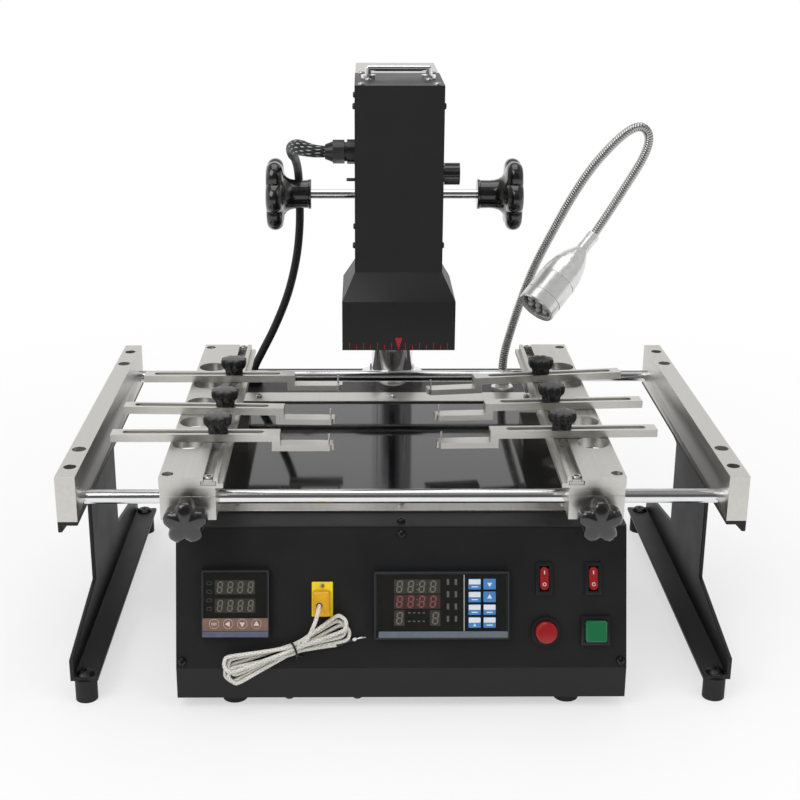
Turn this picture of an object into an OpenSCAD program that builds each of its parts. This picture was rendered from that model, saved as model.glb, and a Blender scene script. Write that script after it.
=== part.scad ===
// BGA rework station: cabinet with glass-topped lower heater, sliding board holder with six arms,
// upper heater on a rack-and-pinion column, gooseneck lamp. Millimetres, X right, Y back, Z up.

/* [Cabinet] */
// Half of the cabinet's width
cabinet_half = 160.3; // [150:0.1:170]
// Height of the cabinet's underside above the table
foot_height = 8.4; // [6:0.1:12]
// Front face of the upright strip under the panel
front_y = -195.7; // [-205:0.1:-185]
// Top of the upright strip
strip_z = 32; // [26:0.5:40]
// Front edge of the deck, where the leaning panel ends
lip_y = -163.9; // [-175:0.1:-155]
// Top of the deck
deck_z = 128.4; // [124:0.1:132]
// Rear face of the cabinet
rear_y = 205; // [195:0.5:210]
// How far the inlet's shroud stands out of the rear wall
inlet_out = 6.7; // [4:0.1:8]
// Sheet thickness
wall = 1.5; // [1:0.1:2]
// Radius of a rubber foot
foot_r = 9; // [6:0.5:12]
// Feet in from the cabinet's sides
foot_side = 40; // [30:1:50]
// Front feet behind the front face
foot_front = 16; // [12:0.5:24]
// Rear feet ahead of the rear face
foot_back = 18; // [12:0.5:24]

/* [Lower heater] */
// Half width of the glass
glass_half = 140; // [120:1:145]
// Front edge of the glass
glass_front = -128; // [-130:0.5:-120]
// Rear edge of the glass
glass_rear = 117; // [105:0.5:120]
// Thickness of the glass
glass_t = 4; // [3:0.5:5]
// Width of a glass strip
strip_w = 24; // [18:0.5:28]
// Thickness of a glass strip
strip_t = 1.6; // [1:0.1:2.5]
// Ledge that carries the glass
ledge = 10; // [6:0.5:14]
// Depth of the heater well
well_depth = 32; // [26:0.5:36]
// Number of ceramic bars in the well
bar_count = 4; // [3:1:5]
// Width of a ceramic bar
bar_w = 46; // [36:0.5:48]
// Height of a ceramic bar
bar_h = 13; // [10:0.5:16]

/* [Controllers] */
// Side of the small controller's bezel
small_side = 48; // [46:0.5:50]
// Length of the wide controller's bezel
wide_len = 96; // [94:0.5:98]
// Bezel height above the panel
bezel_t = 6.5; // [4:0.5:9]
// Gap from bezel edge to body edge
bezel_lap = 1.6; // [1:0.1:2.5]
// Depth of the bodies behind the panel
body_depth = 66; // [50:1:72]

/* [Switches] */
// Radius of the stop button
stop_r = 7.7; // [6.5:0.1:8.5]
// Side of the start button
start_side = 15; // [13:0.1:17]
// Width of a rocker
rocker_w = 6; // [5:0.1:7]
// Length of a rocker
rocker_l = 16; // [14:0.5:17]
// Tilt of a rocker to either side
rocker_tilt = 7; // [5:0.5:9]
// Travel of the two push buttons
press = 2.5; // [1.5:0.1:3.5]
// Gap round buttons and rockers
switch_gap = 0.35; // [0.3:0.05:0.6]
// Rim of a switch frame beyond its barrel
switch_rim = 1.2; // [0.8:0.1:1.8]

/* [Board holder] */
// Half of the width over the end bars
holder_half = 238; // [230:0.5:245]
// Middle of the holder, front to back
holder_y = -33; // [-36:0.5:-28]
// Width of an end bar
bar_x = 14; // [12:0.5:16]
// Length of an end bar
bar_y = 314; // [306:0.5:316]
// Height of an end bar
bar_z = 33; // [28:0.5:36]
// Top of the end bars and carriage plates
bar_top = 176; // [172:0.5:180]
// Radius of a guide rod
rod_r = 5; // [4:0.1:6]
// Distance between the guide rods
rod_pitch = 274; // [268:0.5:278]
// Height of the guide rods
rod_z = 153.6; // [151:0.1:156]
// Thickness of the leg sheet
leg_t = 3; // [2:0.5:4]
// Width of a leg's upright
leg_w = 108; // [90:1:120]
// Depth of a foot rail
rail_x = 20; // [18:0.5:24]
// Height of a foot rail
rail_z = 17; // [14:0.5:20]
// Height of the leg feet
leg_foot = 17; // [14:0.5:20]

/* [Carriages] */
// Middle of the left carriage plate from the centre line
left_x = 145; // [135:0.5:150]
// Middle of the right carriage plate from the centre line
right_x = 131; // [125:0.5:150]
// Width of a carriage plate
plate_x = 44; // [42:0.5:46]
// Length of a carriage plate
plate_y = 317; // [312:0.5:318]
// Thickness of a carriage plate
plate_t = 7.7; // [7.2:0.1:8.5]
// T-slot from the middle of the plate, inwards
slot_in = 12; // [11:0.25:12.5]
// Width of the T-slot's mouth
slot_w = 7; // [6.6:0.1:7.6]
// Width of the T-slot's undercut
tee_w = 10.6; // [10:0.1:11]
// Depth of the T-slot's mouth
mouth_t = 2.7; // [2.4:0.1:3]
// Height of the T-slot's undercut
tee_t = 3; // [2.8:0.1:3.2]
// Width of the ledge along the inner edge
rebate_w = 3.4; // [2.5:0.1:3.6]
// Depth of the ledge along the inner edge
rebate_t = 4.4; // [3.5:0.1:5]
// Radius of the round holes
hole_r = 11.5; // [10:0.25:12]
// Distance between round holes
hole_pitch = 46; // [42:0.5:48]
// Round holes from the middle of the plate, outwards
hole_out = 9; // [8.5:0.25:9]
// Width of a slide block
block_x = 38.5; // [36:0.5:40]
// Length of a slide block
block_y = 38; // [34:0.5:40]
// Underside of the slide blocks
block_z = 144; // [141:0.5:146]
// Radius of the star knob
star_r = 15.4; // [14:0.1:17]
// Thickness of the star knob
star_t = 17; // [14:0.5:17.5]
// Neck between slide block and star knob
star_neck = 5.7; // [4:0.1:6]
// Star knob's axis below the guide rod's axis
star_drop = 4.5; // [3:0.1:5.5]

/* [Arms] */
// Width of an arm
arm_w = 12; // [10:0.5:13]
// Thickness of an arm
arm_t = 5.7; // [5:0.1:6.5]
// Length of an arm's slotted bar
arm_len = 123; // [118:0.5:126]
// Width of the arm's slot
arm_slot = 5.8; // [5.6:0.1:6.4]
// Outer end of the slot from the arm's outer end
slot_out = 8; // [6:0.5:12]
// Inner end of the slot from the arm's inner end
slot_inner = 12; // [10:0.5:16]
// Length of the step down to the jaw
step_x = 6; // [5:0.5:8]
// Underside of the jaw below the underside of the arm
jaw_drop = 7.3; // [6:0.1:8]
// Thickness of the jaw
jaw_t = 4.4; // [3.5:0.1:5]
// Length of the jaw beyond the arm
jaw_len = 39; // [34:0.5:42]
// Radius of the jaw's pin
pin_r = 0.75; // [0.6:0.05:1]
// Height of the jaw's pin
pin_h = 6; // [4:0.25:6.5]
// Radius of the clamp stud
stud_r = 2.5; // [2.2:0.05:2.6]
// Length of the clamp nut
nut_len = 14; // [11:0.5:16]
// Largest radius of the clamp knob
knob_r = 10.65; // [9:0.05:11]
// Radius of the clamp knob's neck
knob_neck = 7.25; // [6:0.05:8]
// Height of the clamp knob
knob_h = 12.7; // [11:0.1:14]

/* [Upper heater] */
// Half width of the housing
head_half = 33.3; // [30:0.1:36]
// Front face of the housing
head_front = -33; // [-36:0.5:-30]
// Rear face of the housing
head_rear = 55; // [52:0.5:58]
// Top of the housing
head_top = 421; // [410:0.5:430]
// Half width of the skirt
skirt_half = 43; // [40:0.5:46]
// Front face of the skirt
skirt_front = -50; // [-53:0.5:-47]
// Rear face of the skirt
skirt_rear = 34; // [31:0.5:37]
// Lower edge of the skirt
skirt_bottom = 224; // [221:0.5:226]
// Upper edge of the skirt, where the flare starts
skirt_top = 262; // [256:0.5:266]
// Upper end of the flare
flare_top = 281; // [276:0.5:283]
// Rear end of the flare's top
flare_rear = 14; // [10:0.5:20]
// Housing sheet thickness
head_wall = 1.5; // [1:0.1:2]
// Radius of the column
column_r = 19; // [17:0.25:20]
// Middle of the column, front to back
column_y = 168; // [167:0.25:169]
// Top of the column
column_top = 410; // [400:0.5:415]
// Wall of the slide's collar round the column
collar_wall = 9; // [7:0.5:12]
// Underside of the slide
slide_bottom = 283; // [281:0.5:285]
// Top of the slide's collar
collar_top = 396; // [390:0.5:400]
// Rear face of the slide's box
slide_rear = 136; // [133:0.5:138]
// Gear module
gear_module = 1.5; // [1.4:0.05:1.6]
// Teeth of the pinion
gear_teeth = 16; // [15:1:17]
// Width of the rack
rack_w = 10; // [8:0.5:12]
// Height of the pinion shaft at rest
shaft_z = 310.5; // [308:0.25:313]
// Radius of the pinion shaft
shaft_r = 4; // [3.5:0.1:4.5]
// Radius of a hand wheel
wheel_r = 32; // [28:0.5:34]
// Thickness of a hand wheel's rim
wheel_t = 15; // [12:0.5:18]
// Inner end of a hand wheel's hub from the centre line
wheel_in = 71.5; // [66:0.5:76]
// Outer end of a hand wheel from the centre line
wheel_out = 110; // [104:0.5:114]
// Height of the top handle's bar above the housing
handle_rise = 10; // [9:0.5:14]
// Half distance between the top handle's feet
handle_half = 23; // [20:0.5:26]
// Radius of the head cable
cable_r = 4.2; // [3:0.1:4.6]

/* [Lamp] */
// Lamp base from the centre line
lamp_x = 100; // [98:0.5:103]
// Lamp base, front to back
lamp_y = 142; // [141:0.5:146]
// Radius of the gooseneck
neck_r = 4; // [3:0.1:4.5]
// Radius of the lamp's flange on the deck
flange_r = 10; // [8:0.5:12]
// Thickness of the lamp's flange
flange_t = 4; // [3:0.5:6]
// Height of the lamp's socket above the deck
lamp_socket = 14; // [10:0.5:18]
// Largest radius of the lamp head
lamp_r = 17.25; // [14:0.25:19]
// Length of the lamp head
lamp_len = 88; // [80:0.5:92]

/* [Sensor lead] */
// Radius of the sensor lead
lead_r = 1.4; // [1:0.05:1.6]
// Length of the tied hank
hank_len = 93; // [84:0.5:98]
// Width of the tied hank
hank_w = 14; // [10:0.5:16]
// Thickness of the tied hank
hank_t = 8; // [6:0.5:9]

/* [Clearances] */
// Running clearance on a radius
run_gap = 0.05; // [0.02:0.01:0.1]
// Gap between sliding flat faces
slide_gap = 0.3; // [0.25:0.05:0.4]
// Gap of a panel cut-out round what it holds
cut_gap = 0.2; // [0.1:0.05:0.4]

/* [Hidden] */
$fn = 64;
lean = atan2(lip_y - front_y, deck_z - strip_z);
panel_y = wall / cos(lean);
deck_z0 = deck_z - wall;
panel_top_y = front_y + (deck_z0 - strip_z) * tan(lean);

// Centres on the leaning panel: across, and up the panel
small_c = [42.6 - cabinet_half, 46.8];
wide_c = [28.3, 45.3];
stop_c = [cabinet_half - 57.8, 25.9];
start_c = [cabinet_half - 22.4, 26.6];
light_c = [cabinet_half - 58.8, 63.5];
fanr_c = [cabinet_half - 23.8, 63.5];
socket_c = [-56.3, 49.4];
plug_c = [-56.7, 47.7];
hank_c = [-81.5, 12.8];
hank_turn = 20.9;

// A panel cut-out is this much smaller than the bezel that covers it
cut_lap = 2 * bezel_lap - 2 * cut_gap;

// Sockets and plugs
socket_size = [15, 24.5];
socket_t = 2;
socket_body = [12.6, 20, 13];
plug_size = [11.4, 17.2];
plug_t = 13;

// Switch barrels
barrel = 14;
barrel_floor = 2;
rim_t = 3;
rocker_rim_t = 1.6;
key_size = [8.4, 7.2];
key_first = [23.2, 15.2];
key_pitch = [10.6, 9.03];
rocker_frame = [rocker_w + 2 * switch_gap + 2.6, rocker_l + 2 * switch_gap + 4];
stop_barrel = stop_r + switch_gap + 1.2;
start_barrel = start_side + 2 * switch_gap + 2.4;

// Well under the glass
well_z = deck_z - well_depth;
well_pad = wall + cut_gap;

// Fan and inlet on the rear wall
fan_c = [cabinet_half - 76.3, 72];
fan_side = 60;
fan_t = 15;
fan_hub = 11;
fan_pin = 2;
inlet_c = [64.3 - cabinet_half, 60];
inlet_plate = [48, 28, 3];
inlet_body = [28, 21, 14];
inlet_bore = [24, 16.5, 11];
inlet_gap = 0.2;

// Holder
bar_in = holder_half - bar_x;
bar_bottom = bar_top - bar_z;
rods_y = [holder_y - rod_pitch / 2, holder_y + rod_pitch / 2];
rod_end = holder_half - 3;
leg_top = bar_bottom;
leg_foot_y = [holder_y - 148, holder_y + 148];

// Carriages
plate_z = bar_top - plate_t;
mouth_z = bar_top - mouth_t;
tee_z = mouth_z - tee_t;
star_y = rods_y[0] - block_y / 2;

// Arms at rest: front to back, reach outwards from the stud, turn on the stud
left_y = [-116, -57, 23];
right_y = [-109, -46, 23];
left_out = [77.7, 77.7, 73.2];
right_out = [69.9, 71, 67.1];
left_turn = [0, 2.1, 0];
right_turn = [1.6, 3.5, 7.6];
arm_z = bar_top + slide_gap;
knob_z = arm_z + arm_t + slide_gap;

// Rack and pinion
pitch_r = gear_module * gear_teeth / 2;
gear_tip = pitch_r + gear_module;
gear_root = pitch_r - 1.25 * gear_module;
gear_base = pitch_r * cos(20);
tooth = 0.42;
rack_y = column_y - column_r - 7;
shaft_y = rack_y - pitch_r;
rack_pitch = PI * gear_module;
rack_half = 12;
wheel_hub = 12;

// Gland, lock knob and cable places on the head
gland_y = 10;
gland_z = 366;
gland_end = head_half + 23;
lock_y = 15;
lock_z = 348;
lock_r = 8.5;
cable_hole = [-128, 160];

// Lamp head axis, from the gooseneck's end to the lens
lamp_tail = [176.5, lamp_y, 271.7];
lamp_dir = [-54, -42, -55.1];

// Panel point: across, up the panel, out from its face
function pp(x, t, n) = [x, front_y + t * sin(lean) - n * cos(lean), strip_z + t * cos(lean) + n * sin(lean)];

// Routes of the three flexible pieces
lead_route = [pp(-58, 46.8, socket_t + plug_t - 0.4), pp(-58, 46.6, 19.5), pp(-58.6, 44, 24),
    pp(-61, 36, 25.5), pp(-66, 25, 21), pp(-72, 17, 13), pp(-75, 13.5, hank_t - 0.5)];
cable_route = [[-gland_end + 0.4, gland_y, gland_z], [-66, 11, 366.5], [-77, 24, 367], [-84, 52, 362],
    [-85.5, 86, 352], [-84.5, 120, 342], [-83.5, 145, 328], [-83, 156, 306], [-83.5, 160, 276],
    [-87, 160, 246], [-95, 160, 214], [-107, 160, 184], [-119, 160, 160], [-126.5, 160, 145],
    [-128, 160, 136], [-128, 160, deck_z + 0.4]];
neck_route = [[lamp_x, lamp_y, deck_z + lamp_socket + 0.05], [101.6, lamp_y, 165], [112.9, lamp_y, 207],
    [125, lamp_y, 242], [140.4, lamp_y, 275], [157, lamp_y, 307], [175, lamp_y, 335], [197, lamp_y, 359],
    [212, lamp_y + 1, 366.5], [220.5, lamp_y + 3, 358], [217.5, lamp_y + 5, 340], [201, lamp_y + 7, 309],
    [188, lamp_y + 5, 288], lamp_tail + unit(lamp_dir) * 0.7];

function unit(v) = v / norm(v);
function spline(a, b, c, d, u) = 0.5 * (2 * b + (c - a) * u + (2 * a - 5 * b + 4 * c - d) * u * u
    + (3 * b - a - 3 * c + d) * u * u * u);
function smooth(p, n) = concat([for (i = [0 : len(p) - 2]) for (k = [0 : n - 1])
    spline(p[max(i - 1, 0)], p[i], p[i + 1], p[min(i + 2, len(p) - 1)], k / n)], [p[len(p) - 1]]);
function along(q, i) = unit(q[min(i + 1, len(q) - 1)] - q[max(i - 1, 0)]);
function carry(s, t) = unit(s - t * (s * t));
function sides(q, i) = i == 0 ? [carry([0.31, 0.9, 0.23], along(q, 0))]
    : let (last = sides(q, i - 1)) concat(last, [carry(last[i - 1], along(q, i))]);

module tube(q, r, k) {
    s = sides(q, len(q) - 1);
    n = len(q);
    polyhedron(
        points = [for (i = [0 : n - 1]) for (j = [0 : k - 1])
            let (a = 360 * j / k, t = along(q, i)) q[i] + r * (cos(a) * s[i] + sin(a) * cross(t, s[i]))],
        faces = concat([[for (j = [0 : k - 1]) j]],
            [for (i = [0 : n - 2]) for (j = [0 : k - 1])
                [i * k + j, (i + 1) * k + j, (i + 1) * k + (j + 1) % k, i * k + (j + 1) % k]],
            [[for (j = [k - 1 : -1 : 0]) (n - 1) * k + j]]));
}

module on_panel(c, n = 0) {
    translate([c[0], front_y + c[1] * sin(lean), strip_z + c[1] * cos(lean)])
        rotate([90 - lean, 0, 0]) translate([0, 0, n]) children();
}

module slab(size, z0, z1) {
    translate([-size[0] / 2, -size[1] / 2, z0]) cube([size[0], size[1], z1 - z0]);
}

module box(x, y, z) {
    translate([x[0], y[0], z[0]]) cube([x[1] - x[0], y[1] - y[0], z[1] - z[0]]);
}

module side_profile(t0, t1) {
    translate([t0, 0, 0]) rotate([90, 0, 90]) linear_extrude(t1 - t0) children();
}

module lobes(r, count, core, lobe) {
    circle(core);
    for (i = [0 : count - 1]) rotate(i * 360 / count) translate([r - lobe, 0]) circle(lobe);
}

module stadium(len, w) {
    square([len - w, w], center = true);
    for (s = [-1, 1]) translate([s * (len - w) / 2, 0]) circle(w / 2);
}

// Cabinet

module body_shell() color([0.06, 0.06, 0.065]) {
    difference() {
        union() {
            box([-cabinet_half, cabinet_half], [front_y, rear_y], [foot_height, foot_height + wall]);
            box([-cabinet_half, cabinet_half], [front_y, front_y + wall], [foot_height, strip_z]);
            box([-cabinet_half, cabinet_half], [rear_y - wall, rear_y], [foot_height, deck_z0]);
            for (x = [-cabinet_half, cabinet_half - wall]) side_profile(x, x + wall)
                polygon([[front_y, foot_height], [front_y, strip_z], [front_y + panel_y, strip_z],
                    [panel_top_y + panel_y, deck_z0], [rear_y, deck_z0], [rear_y, foot_height]]);
        }
        for (i = [-3 : 3]) translate([fan_c[0], rear_y, fan_c[1] + i * 7]) rotate([90, 0, 0])
            linear_extrude(4 * wall, center = true) stadium(2 * sqrt(27 * 27 - i * i * 49) , 4);
        translate([inlet_c[0], rear_y, inlet_c[1]]) rotate([-90, 0, 0])
            slab([inlet_body[0] + 2 * inlet_gap, inlet_body[1] + 2 * inlet_gap], -3 * wall, wall);
        for (s = [-1, 1]) for (i = [0 : 7]) translate([s * cabinet_half, 20 + i * 14, 66]) rotate([90, 0, 90])
            linear_extrude(4 * wall, center = true) rotate(90) stadium(34, 4);
    }
}

module front_panel() color([0.06, 0.06, 0.065]) {
    difference() {
        side_profile(-cabinet_half, cabinet_half)
            polygon([[front_y, strip_z], [panel_top_y, deck_z0], [panel_top_y + panel_y, deck_z0],
                [front_y + panel_y, strip_z]]);
        on_panel(small_c) slab([small_side - cut_lap, small_side - cut_lap], -4, 4);
        on_panel(wide_c) slab([wide_len - cut_lap, small_side - cut_lap], -4, 4);
        on_panel(stop_c) translate([0, 0, -4]) cylinder(h = 8, r = stop_barrel + cut_gap);
        on_panel(start_c) slab([start_barrel + 2 * cut_gap, start_barrel + 2 * cut_gap], -4, 4);
        for (c = [light_c, fanr_c]) on_panel(c) slab(rocker_frame + [2 * cut_gap, 2 * cut_gap], -4, 4);
        on_panel(socket_c) slab([socket_body[0] + 2 * cut_gap, socket_body[1] + 2 * cut_gap], -4, 4);
    }
}

module top_plate() color([0.06, 0.06, 0.065]) {
    difference() {
        union() {
            box([-cabinet_half, cabinet_half], [lip_y, rear_y], [deck_z0, deck_z]);
            box([-glass_half - well_pad, glass_half + well_pad],
                [glass_front - well_pad, glass_rear + well_pad], [well_z, deck_z0 + 0.5]);
            translate([cable_hole[0], cable_hole[1], deck_z0]) cylinder(h = wall + 6, r = cable_r + 4);
        }
        box([-glass_half - cut_gap, glass_half + cut_gap], [glass_front - cut_gap, glass_rear + cut_gap],
            [deck_z - glass_t, deck_z + 1]);
        box([-glass_half + ledge, glass_half - ledge], [glass_front + ledge, glass_rear - ledge],
            [well_z + wall, deck_z + 1]);
        translate([cable_hole[0], cable_hole[1], deck_z0 - 1]) cylinder(h = wall + 9, r = cable_r + 0.6);
    }
}

module glass_plate() color([0.02, 0.02, 0.025]) {
    box([-glass_half, glass_half], [glass_front, glass_rear], [deck_z - glass_t, deck_z]);
}

module glass_strips() color([0.82, 0.82, 0.84]) {
    for (y = [glass_front, glass_rear])
        box([-glass_half, glass_half], [y - strip_w / 2, y + strip_w / 2], [deck_z, deck_z + strip_t]);
}

module lower_heaters() color([0.25, 0.24, 0.23]) {
    room = glass_rear - glass_front - 2 * ledge;
    for (i = [0 : bar_count - 1]) translate([0, glass_front + ledge + room * (i + 0.5) / bar_count, 0])
        slab([2 * (glass_half - ledge) - 12, min(bar_w, room / bar_count - 4)], well_z + wall,
            well_z + wall + bar_h);
}

module rubber_feet() color([0.05, 0.05, 0.05]) {
    for (x = [-1, 1]) {
        for (y = [front_y + foot_front, rear_y - foot_back]) translate([x * (cabinet_half - foot_side), y, 0])
            cylinder(h = foot_height, r = foot_r);
        for (y = leg_foot_y) translate([x * (holder_half - rail_x / 2), y, 0])
            cylinder(h = leg_foot, r = foot_r - 1);
    }
}

// Panel parts

module lower_controller() color([0.08, 0.08, 0.085]) {
    on_panel(small_c) {
        difference() {
            slab([small_side, small_side], 0, bezel_t);
            slab([small_side - 4, small_side - 4], bezel_t - 0.8, bezel_t + 1);
        }
        slab([small_side - 2 * bezel_lap, small_side - 2 * bezel_lap], -body_depth, 0.5);
        for (i = [0 : 3]) translate([-15 + i * 10, -14, bezel_t - 1]) cylinder(h = 1.2, r = 2.6);
    }
}

module upper_controller() color([0.08, 0.08, 0.085]) {
    on_panel(wide_c) {
        difference() {
            slab([wide_len, small_side], 0, bezel_t);
            slab([wide_len - 4, small_side - 4], bezel_t - 0.8, bezel_t + 1);
        }
        slab([wide_len - 2 * bezel_lap, small_side - 2 * bezel_lap], -body_depth, 0.5);
        for (c = [0, 1]) for (i = [0 : 3])
            translate([key_first[0] + c * key_pitch[0], key_first[1] - i * key_pitch[1], 0])
                slab(key_size, bezel_t - 1, bezel_t + 0.2);
    }
}

module panel_bezels() color([0.07, 0.07, 0.07]) {
    on_panel(stop_c) difference() {
        union() {
            cylinder(h = rim_t, r = stop_barrel + switch_rim);
            translate([0, 0, -barrel]) cylinder(h = barrel + 1, r = stop_barrel);
        }
        translate([0, 0, barrel_floor - barrel]) cylinder(h = barrel + rim_t, r = stop_r + switch_gap);
    }
    on_panel(start_c) difference() {
        union() {
            slab([start_barrel + 2 * switch_rim, start_barrel + 2 * switch_rim], 0, rim_t);
            slab([start_barrel, start_barrel], -barrel, 1);
        }
        slab([start_side + 2 * switch_gap, start_side + 2 * switch_gap], barrel_floor - barrel, rim_t + 1);
    }
    for (c = [light_c, fanr_c]) on_panel(c) difference() {
        union() {
            slab(rocker_frame + [2 * switch_rim, 2 * switch_rim], 0, rocker_rim_t);
            slab(rocker_frame, -barrel, 1);
        }
        slab([rocker_w + 2 * switch_gap, rocker_l + 2 * switch_gap + 1.2], barrel_floor - barrel, rim_t);
    }
}

module stop_button() color([0.72, 0.05, 0.05]) {
    on_panel(stop_c, rim_t - barrel + press) {
        cylinder(h = barrel + 1.5, r = stop_r);
        translate([0, 0, barrel + 1.5]) cylinder(h = 1.2, r1 = stop_r, r2 = stop_r - 1.2);
    }
}

module start_button() color([0.1, 0.45, 0.16]) {
    on_panel(start_c, rim_t - barrel + press) slab([start_side, start_side], 0, barrel + 2);
}

module rocker() {
    translate([-rocker_w / 2, 0, -1]) rotate([-rocker_tilt, 0, 0]) rotate([90, 0, 90])
        linear_extrude(rocker_w) polygon([[-rocker_l / 2, -2.4], [rocker_l / 2, -2.4], [rocker_l / 2, 4.2],
            [0, 2.8], [-rocker_l / 2, 4.2]]);
}

module light_rocker() color([0.75, 0.08, 0.06]) on_panel(light_c) rocker();
module fan_rocker() color([0.75, 0.08, 0.06]) on_panel(fanr_c) rocker();

module sensor_socket() color([0.9, 0.72, 0.1]) {
    on_panel(socket_c) {
        slab(socket_size, 0, socket_t);
        slab([socket_body[0], socket_body[1]], -socket_body[2], 0.5);
    }
}

module sensor_plug() color([0.9, 0.72, 0.1]) on_panel(plug_c) slab(plug_size, socket_t, socket_t + plug_t);

module sensor_wire() color([0.85, 0.85, 0.82]) tube(smooth(lead_route, 5), lead_r, 8);

module sensor_hank() color([0.85, 0.85, 0.82]) {
    on_panel(hank_c, 0.5) rotate(hank_turn) linear_extrude(hank_t) stadium(hank_len, hank_w);
}

module cooling_fan() color([0.08, 0.08, 0.08]) {
    translate([fan_c[0], rear_y - wall, fan_c[1]]) rotate([90, 0, 0]) {
        difference() {
            slab([fan_side, fan_side], 0, fan_t);
            translate([0, 0, -1]) cylinder(h = fan_t + 2, r = fan_side / 2 - 2);
        }
        translate([0, 0, fan_t - 2.7]) cylinder(h = 2.4, r = fan_hub);
        for (a = [30, 120]) rotate(a) slab([fan_side + 2, 3], fan_t - 2.4, fan_t - 0.6);
        translate([0, 0, 4]) cylinder(h = fan_t - 6, r = fan_pin);
    }
}

module fan_rotor() color([0.1, 0.1, 0.1]) {
    translate([fan_c[0], rear_y - wall, fan_c[1]]) rotate([90, 0, 0]) difference() {
        union() {
            translate([0, 0, 1.5]) cylinder(h = fan_t - 5, r = fan_hub);
            for (i = [0 : 6]) rotate(i * 360 / 7) translate([fan_hub - 1.5, 0, 6]) rotate([35, 0, 0])
                translate([0, -0.7, -4.5]) cube([fan_side / 2 - fan_hub - 1.5, 1.4, 9]);
        }
        translate([0, 0, 3.5]) cylinder(h = fan_t, r = fan_pin + run_gap);
    }
}

module power_inlet() color([0.06, 0.06, 0.06]) {
    translate([inlet_c[0], rear_y, inlet_c[1]]) rotate([-90, 0, 0]) difference() {
        union() {
            slab([inlet_plate[0], inlet_plate[1]], 0, inlet_plate[2]);
            slab([inlet_body[0], inlet_body[1]], -inlet_body[2], inlet_out);
        }
        slab([inlet_bore[0], inlet_bore[1]], -inlet_bore[2], inlet_out + 1);
    }
}

// Upper heater

module rack_profile() {
    z0 = shaft_z + 7 * rack_pitch;
    h = (rack_half + 0.5) * rack_pitch;
    tip = tooth * rack_pitch / 2 - gear_module * tan(20);
    root = tooth * rack_pitch / 2 + 1.25 * gear_module * tan(20);
    polygon(concat([[column_y - column_r + 3, z0 - h], [rack_y + 1.25 * gear_module, z0 - h]],
        [for (i = [-rack_half : rack_half]) for (p = [[1.25, -root], [-1, -tip], [-1, tip], [1.25, root]])
            [rack_y + p[0] * gear_module, z0 + i * rack_pitch + p[1]]],
        [[rack_y + 1.25 * gear_module, z0 + h], [column_y - column_r + 3, z0 + h]]));
}

module column() color([0.85, 0.85, 0.87]) {
    translate([0, column_y, deck_z]) {
        cylinder(h = column_top - deck_z, r = column_r);
        cylinder(h = 8, r = column_r + 10);
    }
    side_profile(-rack_w / 2, rack_w / 2) rack_profile();
}

module hood(g, z0) {
    h = skirt_half - g;
    top = flare_top + (g == 0 ? 1 : 2 * g);
    intersection() {
        translate([0, 200, 0]) rotate([90, 0, 0]) linear_extrude(400)
            polygon([[-h, z0], [h, z0], [h, skirt_top - g], [head_half - g, flare_top - g],
                [head_half - g, top],
                [g - head_half, top], [g - head_half, flare_top - g], [-h, skirt_top - g]]);
        side_profile(-100, 100)
            polygon([[skirt_front + g, z0], [skirt_rear - g, z0], [skirt_rear - g, skirt_top - g],
                [flare_rear - g, flare_top - g], [flare_rear - g, top], [head_front + g, top],
                [head_front + g, flare_top - g], [skirt_front + g, skirt_top - g]]);
    }
}

module head_housing() color([0.06, 0.06, 0.065]) {
    difference() {
        union() {
            difference() {
                union() {
                    box([-head_half, head_half], [head_front, head_rear], [flare_top - 0.01, head_top]);
                    hood(0, skirt_bottom);
                }
                box([head_wall - head_half, head_half - head_wall],
                    [head_front + head_wall, head_rear - head_wall],
                    [flare_top + head_wall, head_top - head_wall]);
                hood(head_wall, skirt_bottom - 5);
            }
            box([head_half - 9, head_half - 0.5], [lock_y - 8, lock_y + 8], [lock_z - 8, lock_z + 8]);
        }
        translate([head_half - 12, lock_y, lock_z]) rotate([0, 90, 0]) cylinder(h = 20, r = 2.5 + run_gap);
        translate([-head_half - 1, gland_y, gland_z]) rotate([0, 90, 0]) cylinder(h = 6, r = 6.05);
    }
}

module head_slide() color([0.75, 0.76, 0.78]) {
    difference() {
        union() {
            box([0.3 - head_half, head_half - 0.3], [head_rear, slide_rear], [slide_bottom, head_top]);
            translate([0, column_y, slide_bottom])
                cylinder(h = collar_top - slide_bottom, r = column_r + collar_wall);
            box([-column_r - collar_wall, column_r + collar_wall], [slide_rear - 1, column_y],
                [slide_bottom, collar_top]);
        }
        translate([0, column_y, 200]) cylinder(h = 300, r = column_r + run_gap);
        box([-rack_w / 2 - slide_gap, rack_w / 2 + slide_gap], [rack_y - gear_module - 0.5, column_y],
            [200, 500]);
        translate([-rack_w / 2 - 1, shaft_y, shaft_z]) rotate([0, 90, 0])
            cylinder(h = rack_w + 2, r = gear_tip + 0.6);
        translate([-60, shaft_y, shaft_z]) rotate([0, 90, 0]) cylinder(h = 120, r = shaft_r + run_gap);
    }
}

module upper_heater() color([0.3, 0.28, 0.26]) {
    c = [0, (skirt_front + skirt_rear) / 2, 0];
    in = [2 * (skirt_half - head_wall) - 0.4, skirt_rear - skirt_front - 2 * head_wall - 0.4];
    translate(c) {
        difference() {
            slab(in, skirt_bottom + 12, skirt_top - 4);
            slab(in - [2.4, 2.4], skirt_bottom + 11, skirt_top - 5.5);
        }
        slab(in - [7, 7], skirt_bottom + 5, skirt_bottom + 17);
        for (x = [-26, 26]) for (y = [-26, 26]) translate([x, y, skirt_bottom + 16])
            cylinder(h = skirt_top - skirt_bottom - 21, r = 3);
    }
}

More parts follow.
